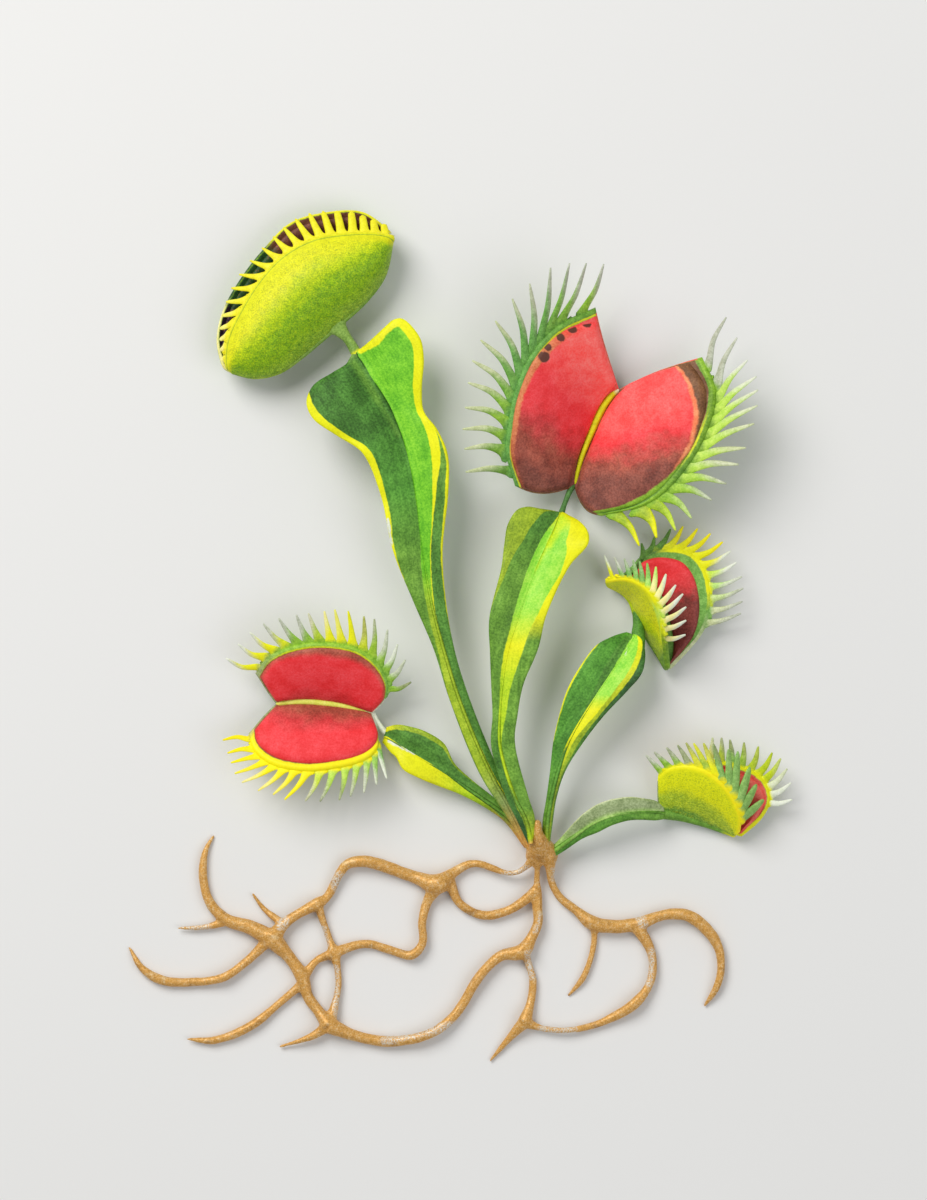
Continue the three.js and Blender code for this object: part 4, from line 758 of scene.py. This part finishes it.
shell = dict(half=0.5, rows=90, columns=44, crowding=1.5, nearRim=[1.6, 0.5], nearEnd=[0, 4], rimRound=0.7,
             endRound=0.55, least=0.08, thinnest=0.03)
pads = dict(over=1.25, under=0.1, sunk=0.05, endRound=0.06, corner=0.3, edge=1.3, rows=96, columns=50,
            blur=0.25, grain=[0.35, 0.3])
toothShape = dict(rings=22, sides=12, sunk=0.9, start=0.3, behind=-0.4, knee=0.45, tipHalf=0.13, thickest=0.5,
                  spare=0.1, webHalf=0.58, webStart=0.04, webFade=0.55, runStep=3.1)
rods = dict(rings=60, sides=16, runLength=20, round=0.6, least=0.15)


def lobeGrid(trap, lobe, s, u):
    # points of a lobe: s runs along the hinge and u from the hinge to the rim
    hinge, rim = smoothCurve(trap["hinge"], s)[:, None], smoothCurve(lobe["rim"], s)[:, None]
    first, last = np.array(trap["hinge"])[[0, -1]]
    u = np.broadcast_to(u, (len(s), u.shape[-1]))
    bowed = arch(u) * along([-lobe["bow"][0], lobe["bow"][1]], s)[:, None]
    grid = hinge + (rim - hinge) * u[..., None] + unit(last - first) * bowed[..., None]
    grid[..., 2] += lobe["bulge"] * arch(u) * arch(s, 0.6)[:, None]
    return grid


def spans(grid):
    # for each point of a grid: steps run along it and across it, how far its nearer end and its far side are
    run, side = stepsAlong(grid), stepsAlong(grid.swapaxes(0, 1)).T
    return run, side, np.minimum(run, run[-1:] - run), side[:, -1:] - side


def lobePart(trap, lobe, isFront):
    s = 0.5 * eased(shell["rows"]) + 0.5 * np.linspace(0, 1, shell["rows"])
    u = 1 - (1 - np.linspace(0, 1, shell["columns"])) ** shell["crowding"]
    grid = lobeGrid(trap, lobe, s, u)
    run, side, toEnd, toRim = spans(grid)
    byRim = softStep(*shell["nearRim"], toRim) * softStep(*shell["nearEnd"], toEnd)
    half = shell["half"] + (lobe["edge"] - shell["half"]) * byRim
    half = half * roundedEdge(toRim, shell["rimRound"], shell["least"])
    half = np.maximum(half * roundedEdge(toEnd, shell["endRound"], shell["least"]), shell["thinnest"])
    return closedSheet(grid, half, half, depth=u, length=s[:, None], toRim=toRim, toEnd=toEnd, run=run,
                       side=side, front=isFront, tooth=-0.5)


def toothParts(trap, lobe, isFront, seed):
    draw, shape = random.Random(seed), toothShape
    t = np.linspace(0, 1, lobe["teeth"])
    s = along(lobe["span"], t)
    hinge, base = smoothCurve(trap["hinge"], s), smoothCurve(lobe["rim"], s)
    tips = smoothCurve(lobe["tips"], t)
    beside = unit(smoothCurve(lobe["rim"], s + 0.01) - smoothCurve(lobe["rim"], s - 0.01))
    gap = np.linalg.norm(np.gradient(base, axis=0), axis=1)
    gap[[0, -1]] *= 0.5
    places = np.linspace(0, 1, shape["rings"])
    l = np.maximum((places - shape["start"]) / (1 - shape["start"]), shape["behind"])
    parts = []
    for k in range(lobe["teeth"]):
        bend, body, taper, web = (along(lobe[key], t[k]) for key in ("bend", "body", "taper", "web"))
        reach = math.hypot(*(tips[k] - base[k][:2]))
        tip = np.array([*tips[k], base[k][2] + lobe["lean"] * reach])
        tip[:2] += beside[k][:2] * draw.uniform(-1, 1) * lobe["jitter"] * reach
        tip = base[k] + (tip - base[k]) * (1 - draw.uniform(0, 1) * lobe["jitter"])
        root = base[k] + unit(hinge[k] - base[k]) * shape["sunk"]
        knee = base[k] + (tip - base[k]) * shape["knee"] + beside[k] * bend
        path = smoothCurve([root, base[k], knee, tip], places)
        width = body * ((1 - np.clip(l, 0, 1)) ** taper + lobe["belly"] * arch(l)) + shape["tipHalf"]
        climb = np.maximum((l - shape["webStart"]) * reach, 0) / (shape["webFade"] * web)
        width += max(shape["webHalf"] * gap[k] - body, 0) * np.exp(-climb)
        thin = np.minimum(width, body + shape["spare"]) * lobe["slim"]
        thin = np.clip(thin, shape["tipHalf"], shape["thickest"])
        parts.append(tube(path, width, thin, shape["sides"], np.tile(beside[k], (len(path), 1)), tooth=l,
                          row=t[k], front=isFront, pale=draw.uniform(0, 1), depth=1, toEnd=away,
                          run=k * shape["runStep"], side=l * reach, length=s[k], upper=1))
    return parts


def rodPart(trap):
    places = np.linspace(0, 1, rods["rings"])
    toEnd = np.minimum(places, 1 - places) * rods["runLength"]
    radius = along(trap["rod"], places) * roundedEdge(toEnd, rods["round"], rods["least"])
    path = smoothCurve(trap["hinge"], places)
    path[:, 2] += trap.get("rodLift", 0) * arch(places, 0.5)
    return tube(path, radius, radius, rods["sides"], rod=1, toRim=away, toEnd=away, tooth=-0.5, length=places,
                run=places * rods["runLength"], upper=1)


coat = dict(wash=[0.22, 1.2], grain=[0.26, 0.7], rimBlur=0.12, stripBlur=[0.15, 0.4], innerBlur=0.15,
            footBlur=0.08, line=0.6, paleTips=0.25, tipEdges=0.16)


def lobePaint(made, look, speck):
    length, row, tooth, toEnd = (made.field(name) for name in ("length", "row", "tooth", "toEnd"))
    byDepth, byLength, offset = look["mix"]
    mixed = made.scaled(length, byLength, made.scaled(made.field("depth"), byDepth, offset))
    (washSize, wash), (grainSize, grain) = coat["wash"], coat["grain"]
    colour = made.washed(made.ramp(made.wavering(mixed, "skin"), look["skin"]), washSize, speck * wash)
    colour = made.grain(colour, grainSize, speck * grain, "trapDark", "trapYellow")
    edge = made.wavering(made.field("toRim"), "rim")
    rimWidth, stripWidth = look["rimWidth"], look["stripWidth"]
    if stripWidth:
        least, more = coat["stripBlur"]
        reach, blur = rimWidth + stripWidth, least + more * stripWidth
        onStrip = made.mask(edge, reach + blur, reach - blur)
        colour = made.over(colour, made.ramp(length, look["strip"]), onStrip)
    ends = made.mask(made.wavering(toEnd, "ends"), "ends")
    colour = made.over(colour, made.ramp(length, look["ends"]), ends)
    facing = made.field("upper") if look["innerUp"] else made.maths("SUBTRACT", 1, made.field("upper"))
    bare = rimWidth + stripWidth * look["innerUp"]
    within = made.maths("MULTIPLY", facing, made.mask(edge, bare, bare + coat["innerBlur"]))
    within = made.maths("MULTIPLY", within, made.mask(toEnd, "inner"))
    colour = made.over(colour, made.ramp(length, look["inner"]), within)
    onRim = made.mask(edge, rimWidth + coat["rimBlur"], rimWidth - coat["rimBlur"])
    colour = made.over(colour, made.ramp(length, look["rimTone"]), onRim)
    if "foot" in look:
        foot = made.mask(made.wavering(length, "foot"), look["foot"], look["foot"] + coat["footBlur"])
        colour = made.over(colour, "rimOlive", foot)
    if "line" in look:
        off = made.maths("ABSOLUTE", made.maths("SUBTRACT", made.field("toRim"), look["line"]))
        colour = made.over(colour, "trapDark", made.maths("MULTIPLY", made.mask(off, "line"), coat["line"]))
    toTip = made.scaled(made.field("pale"), coat["paleTips"], made.wavering(tooth, "toothTip"))
    toTip = made.mask(made.scaled(made.field("turn"), coat["tipEdges"], toTip), "toothTip")
    tone = made.over(made.ramp(row, look["blade"]), made.ramp(row, look["tip"]), toTip)
    return made.over(colour, tone, made.mask(made.wavering(tooth, "toothFoot"), "toothFoot"))


def trapFinish(name, trap):
    made = Finish(name + "_jaws_paint")
    back, front = (lobePaint(made, {**lobeUsual, **trap[side]}, trap["speck"]) for side in ("back", "front"))
    colour = made.over(back, front, made.field("front"))
    fold = made.ramp(made.field("length"), trap["fold"])
    colour = made.over(colour, fold, made.mask(made.field("rod"), "rod"))
    return made.finished("trap", made.washedAs("trap", colour))


def liningFinish(name, look):
    made = Finish(name + "_paint")
    length = made.field("length")
    mixed = made.scaled(made.field("depth"), look["mix"][1], made.maths("MULTIPLY", length, look["mix"][0]))
    colour = made.ramp(made.wavering(made.wavering(mixed, "lining"), "liningFine"), look["tones"])
    for k, band in enumerate(look["bands"]):
        blur = band.get("blur", pads["blur"])
        edge = made.wavering(made.field(f"band{k}"), "liningBand")
        colour = made.over(colour, made.ramp(length, band["tones"]), made.mask(edge, blur, -blur))
    # the brown lining is painted shadow inside the shut trap, with plum and clay specks
    if look["slot"] == "lining_brown":
        return made.finished("shadowLining", made.grain(colour, *pads["grain"], "plum", "clay"))
    colour = made.washedAs("lining", colour)
    if "spots" in look:
        colour = made.over(colour, "umber", made.mask(made.wavering(made.field("spots"), "spots"), "spots"))
    return made.finished("lining", colour)


def makeLining(name, trap, lobe):
    look = {**liningUsual, **lobe["lining"]}
    s = lobe["padEnd"] + (1 - 2 * lobe["padEnd"]) * eased(pads["rows"])
    low, high = lobe["pad"]
    # the corners of the pad are rounded off, more so by the rim
    narrow = arch(s, pads["endRound"])[:, None]
    at = low + (high - low) * ((1 - narrow) * pads["corner"] + narrow * eased(pads["columns"]))
    grid = lobeGrid(trap, lobe, s, at)
    run, side, toEnd, toRim = spans(grid)
    swell = roundedEdge(toEnd, pads["edge"]) * roundedEdge(np.minimum(side, toRim), pads["edge"])
    over = shell["half"] - pads["sunk"] + (pads["over"] - shell["half"]) * swell
    fields = {f"band{k}": toRim - along(band["width"], s)[:, None] for k, band in enumerate(look["bands"])}
    if "spots" in look:
        blots = [np.linalg.norm(grid[..., :2] - spot[:2], axis=-1) - spot[2] for spot in look["spots"]]
        fields["spots"] = np.min(blots, axis=0)
    part = closedSheet(grid, np.full(over.shape, -pads["under"]), over,
                       depth=at, length=s[:, None], run=run, side=side, **fields)
    meshPiece(name + "_pad", [part], [name], liningFinish(name, look))


for trapName, trap in traps.items():
    parts = [rodPart(trap)]
    for side in ("front", "back"):
        lobe, isFront = {**lobeUsual, **trap[side]}, side == "front"
        parts.append(lobePart(trap, lobe, isFront))
        parts += toothParts(trap, lobe, isFront, trapName + side) if lobe["teeth"] else []
        if "lining" in lobe:
            makeLining(f"{trapName}_{side}_lining", trap, lobe)
    meshPiece(trapName + "_jaws", parts, [trapName + "_trap"], trapFinish(trapName, trap))
print("traps made")

# crown and roots

# Each root is [x, y, radius] points; where two meet they grow together.
roots = dict(
    upperLeft=[[-1.2, -1, 0.9], [-1.9, -2.1, 0.65], [-2.8, -2.9, 0.45], [-4, -3.55, 0.45],
               [-5.6, -3.6, 0.48], [-10.7, -2.1, 0.65], [-13.9, -3.5, 0.8], [-16.5, -5.4, 1.7],
               [-20.5, -4.2, 1], [-28, -1.8, 1], [-31.2, -2.4, 0.8], [-34.2, -7.5, 0.7], [-35.7, -8.5, 1],
               [-38.7, -10.1, 0.8], [-41.1, -11.8, 0.9], [-43, -14.1, 1.6]],
    upTip=[[-43, -14.1, 1.4], [-46.6, -12.3, 1.2], [-50.1, -11.2, 1], [-53, -8.3, 0.8], [-54.1, -3.5, 0.7],
           [-53.6, 0, 0.5], [-52.3, 2.4, 0.2]],
    leftTwig=[[-50, -11.4, 0.7], [-53.8, -12.3, 0.5], [-58.2, -12.5, 0.2]],
    leftHook=[[-43.5, -14.3, 1], [-47.2, -17.9, 0.7], [-50.7, -20.3, 0.7], [-55.4, -21.1, 0.7],
              [-60.6, -20.8, 0.8], [-63.8, -18.9, 0.6], [-65.9, -15.5, 0.2]],
    spine=[[-43, -14.1, 1.6], [-40, -17.4, 1], [-38.1, -20.5, 1.1], [-37.3, -23.4, 0.9],
           [-35.7, -25.6, 0.9], [-33.9, -28, 1.4]],
    smallTwig=[[-41.4, -11.7, 0.7], [-44.3, -9.4, 0.45], [-46.2, -6.9, 0.2]],
    innerDown=[[-35.7, -8.5, 0.8], [-35, -10.9, 0.6], [-33.9, -14.1, 0.55], [-33.1, -16.5, 0.9],
               [-32.5, -19.2, 0.55], [-32.5, -22.4, 0.55], [-33.8, -27.8, 1]],
    innerLoop=[[-16.5, -5.4, 1.4], [-18.2, -8.3, 0.8], [-19, -11.5, 0.7], [-19, -15, 0.7],
               [-20.8, -16.8, 0.8], [-24, -16, 0.7], [-27.7, -15, 0.7], [-30.7, -15.5, 0.75],
               [-33.1, -16.5, 0.9], [-35.8, -17.6, 0.6], [-38.1, -20.5, 0.9]],
    lowerLeft=[[-38, -21.2, 0.8], [-41.6, -24.3, 0.6], [-46.6, -28.2, 0.75], [-52.2, -30.4, 0.65],
               [-56.8, -30.2, 0.2]],
    lowerTwig=[[-33.9, -28, 1], [-36.8, -29.8, 0.6], [-41.9, -31.5, 0.2]],
    bridge=[[-14.6, -5.2, 1], [-13, -8.5, 0.7], [-9.4, -10.4, 0.75], [-5.9, -9.9, 0.75], [-3, -8.3, 0.8],
            [-0.6, -6.2, 0.9]],
    centre=[[-0.7, -0.6, 1], [-0.66, -2, 0.75], [-0.62, -3.3, 0.5], [-0.68, -4.8, 0.5], [-0.6, -6.4, 0.7],
            [-0.6, -8.8, 0.85], [-0.5, -11.5, 0.8], [-1.6, -14.1, 0.9], [-3, -16.2, 1.3],
            [-6.2, -16.8, 0.9], [-8.6, -18.7, 0.8], [-10.7, -21.4, 0.8], [-12.5, -24.6, 0.8],
            [-14.6, -27.2, 0.8], [-17.9, -29.4, 0.8], [-24.2, -30.6, 0.9], [-29.3, -29.8, 0.9],
            [-33.9, -28, 1.4]],
    centreDown=[[-2.7, -16.2, 0.9], [-2.1, -17.9, 0.6], [-1.3, -20.8, 0.65], [-1.6, -24, 0.65],
                [-2.6, -27.5, 1.2]],
    centreTip=[[-2.4, -27.2, 1.1], [-4.8, -29.8, 0.65], [-8.2, -33.8, 0.2]],
    rightLoop=[[-2.6, -27.5, 1], [0.2, -28.5, 0.5], [3.8, -28.8, 0.5], [7.4, -28.3, 0.55], [10.9, -27, 0.7],
               [14.9, -24.6, 0.9], [17.1, -21.9, 0.7], [17.9, -18.6, 0.7], [17.4, -15.7, 0.8],
               [15.5, -12.5, 1.1]],
    right=[[1.2, -0.6, 1.2], [1.4, -1.9, 0.95], [1.45, -3.2, 0.76], [1.6, -4.8, 0.6], [3, -7.5, 0.65],
           [5.6, -9.6, 0.75], [8.3, -11.7, 1.2], [11.8, -12.2, 1.1], [15.5, -11.8, 1.1],
           [19.4, -10.4, 0.85], [23.4, -10.4, 1], [26.4, -12.6, 1], [28.3, -15.4, 0.8], [28.8, -18.6, 0.65],
           [28, -22.1, 0.6], [26.1, -25, 0.2]],
    rightTwig=[[8.5, -12, 0.8], [8.5, -14.4, 0.5], [8, -17.1, 0.5], [6.6, -20.6, 0.5], [4.3, -23.4, 0.2]])
# The crown, from its tip to its foot: [x, y, half width, underside, upper side].
crown = [[-0.68, 5, 0.25, 6, 6.4], [-0.68, 4.7, 0.62, 5.4, 6.7], [-0.65, 3.6, 0.78, 4.2, 6.8],
         [-0.58, 2.6, 1, 2.4, 6.8], [-0.3, 1.7, 1.6, 0.6, 6.5], [-0.2, 0.9, 2.2, -0.3, 6.1],
         [-0.05, 0.1, 2.45, -0.3, 5.5], [0.1, -0.6, 2.7, -0.3, 4.9], [0.15, -1.2, 2.5, -0.3, 4.3],
         [0.1, -1.8, 2.2, -0.3, 3.8], [0.05, -2.2, 1.8, -0.3, 3.3], [0.05, -2.4, 1.3, 0, 2.9]]
# Where the gold turns to silver, as [x, y, x, y, half width].
silver = [[-32.6, -4.2, -32.7, -5.8, 0.9], [-59, -12.5, -53.5, -12.4, 0.8], [-34.9, -12.3, -34.4, -15, 0.5],
          [-33, -18.9, -32.6, -26, 0.6], [-41, -11.2, -41.5, -12, 0.8], [-25, -30.4, -13.4, -27.9, 0.7],
          [-5.6, -3.8, -2.6, -2.8, 0.7], [16.3, -11.8, 15.8, -10.8, 0.8], [-1.9, -16.6, -1.5, -20, 0.7],
          [0, -28.6, 5.2, -28.7, 0.7], [17.7, -16, 17.2, -21.5, 0.5], [2.1, -3, 1.9, -4.6, 0.4],
          [-0.9, -13, -0.2, -10.5, 0.3]]
# wash and the silver speck are [size, detail], each grain is [size, strength]. The roots rise and fall in waves
# and climb to the crown.
rootLook = dict(voxel=0.24, sides=14, perMm=1.3, thinnest=0.18, smoothing=4, smoothBy=0.5, lump=0.03,
                crownRings=50, crownSides=32, tones="0.28 darkGold, 0.4 gold 0.62, 0.78 paleGold",
                metallic=0.18, wash=[3, 4], fineGrain=[0.2, 0.62], coarseGrain=[0.5, 0.2],
                wornSpeck=[0.22, 2], waves=[0.31, 0.37], waveShift=0.8, level=0.35, climb=2.2, climbArea=30)


def rootLift(x, y):
    alongX, alongY = rootLook["waves"]
    wave = 0.5 * (1 + np.sin(alongX * x + rootLook["waveShift"]) * np.sin(alongY * y))
    climb = rootLook["climb"] * np.exp(-(x * x + y * y) / rootLook["climbArea"])
    return np.maximum(0, wave - rootLook["level"]) + climb


def crownPart():
    rings, sides = rootLook["crownRings"], rootLook["crownSides"]
    places = np.linspace(0, 1, rings)
    middle = smoothCurve([[x, y, (low + high) / 2] for x, y, _, low, high in crown], places)
    size = smoothCurve([[half, (high - low) / 2] for _, _, half, low, high in crown], places)
    # its rings stand upright: they are made along a level path and then lifted
    points, faces, fields = tube(middle * [1, 1, 0], *size.T, sides, np.tile([1.0, 0, 0], (rings, 1)))
    points[:, 2] += np.append(np.repeat(middle[:, 2], sides), middle[[0, -1], 2])
    return points, faces, fields


def rootFinish():
    made = Finish("golden_root_paint", rootLook["metallic"])
    colour = made.ramp(made.noise(*rootLook["wash"]), rootLook["tones"])
    colour = made.grain(colour, *rootLook["fineGrain"], "darkGold", "paleGold")
    colour = made.grain(colour, *rootLook["coarseGrain"], "umber", "chalk")
    worn = made.mask(made.wavering(made.field("silver"), "worn"), "worn")
    speck = made.mask(made.noise(*rootLook["wornSpeck"], "wornSpeck"), "wornSpeck")
    worn = made.maths("MULTIPLY", worn, speck)
    return made.finished("root", made.over(colour, "silver", worn))


def makeRoots():
    parts = []
    for line in map(np.array, roots.values()):
        control = np.column_stack([line[:, :2], line[:, 2] + rootLift(line[:, 0], line[:, 1])])
        places = np.linspace(0, 1, max(12, int(stepsAlong(control)[-1] * rootLook["perMm"])))
        radius = np.maximum(smoothCurve(line[:, [2, 2, 2]], places)[:, 0], rootLook["thinnest"])
        parts.append(tube(smoothCurve(control, places), radius, radius, rootLook["sides"]))
    points, faces, _ = joined(parts + [crownPart()])
    lines = bpy.data.meshes.new("rootRods")
    lines.from_pydata(points, [], faces)
    holder = addObject("rootRods", lines)
    remesh = holder.modifiers.new("grown", "REMESH")
    remesh.mode, remesh.voxel_size = "VOXEL", rootLook["voxel"]
    smooth = holder.modifiers.new("eased", "SMOOTH")
    smooth.factor, smooth.iterations = rootLook["smoothBy"], rootLook["smoothing"]
    grown = bpy.data.meshes.new_from_object(holder.evaluated_get(bpy.context.evaluated_depsgraph_get()))
    bpy.data.objects.remove(holder)
    grown.name = "crown_and_root_net"
    spots, normals = np.zeros((2, len(grown.vertices) * 3))
    grown.vertices.foreach_get("co", spots)
    grown.vertices.foreach_get("normal", normals)
    spots, normals = spots.reshape(-1, 3), normals.reshape(-1, 3)
    x, y, z = spots.T
    lump = np.sin(1.1 * x + 0.7 * z) * np.sin(0.9 * y + 0.9) + 0.5 * np.sin(2.3 * x - 1.7 * y + z)
    spots += normals * (rootLook["lump"] * lump)[:, None]
    spots[:, 2] = np.maximum(spots[:, 2], 0.0)
    addField(grown, "silver", nearLines(spots, silver))
    grown.vertices.foreach_set("co", (spots * mm).reshape(-1))
    grown.update()
    grown.shade_smooth()
    grown.materials.clear()
    grown.materials.append(rootFinish())
    piece = addObject("crown_and_root_net", grown)
    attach(piece, "root")
    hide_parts("crown_and_roots")
    print("roots grown,", len(grown.polygons), "faces")


makeRoots()

plain = lambda box: [list(map(float, corner)) for corner in box]
{"cad": plain(cadBox), "visual": plain(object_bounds())}
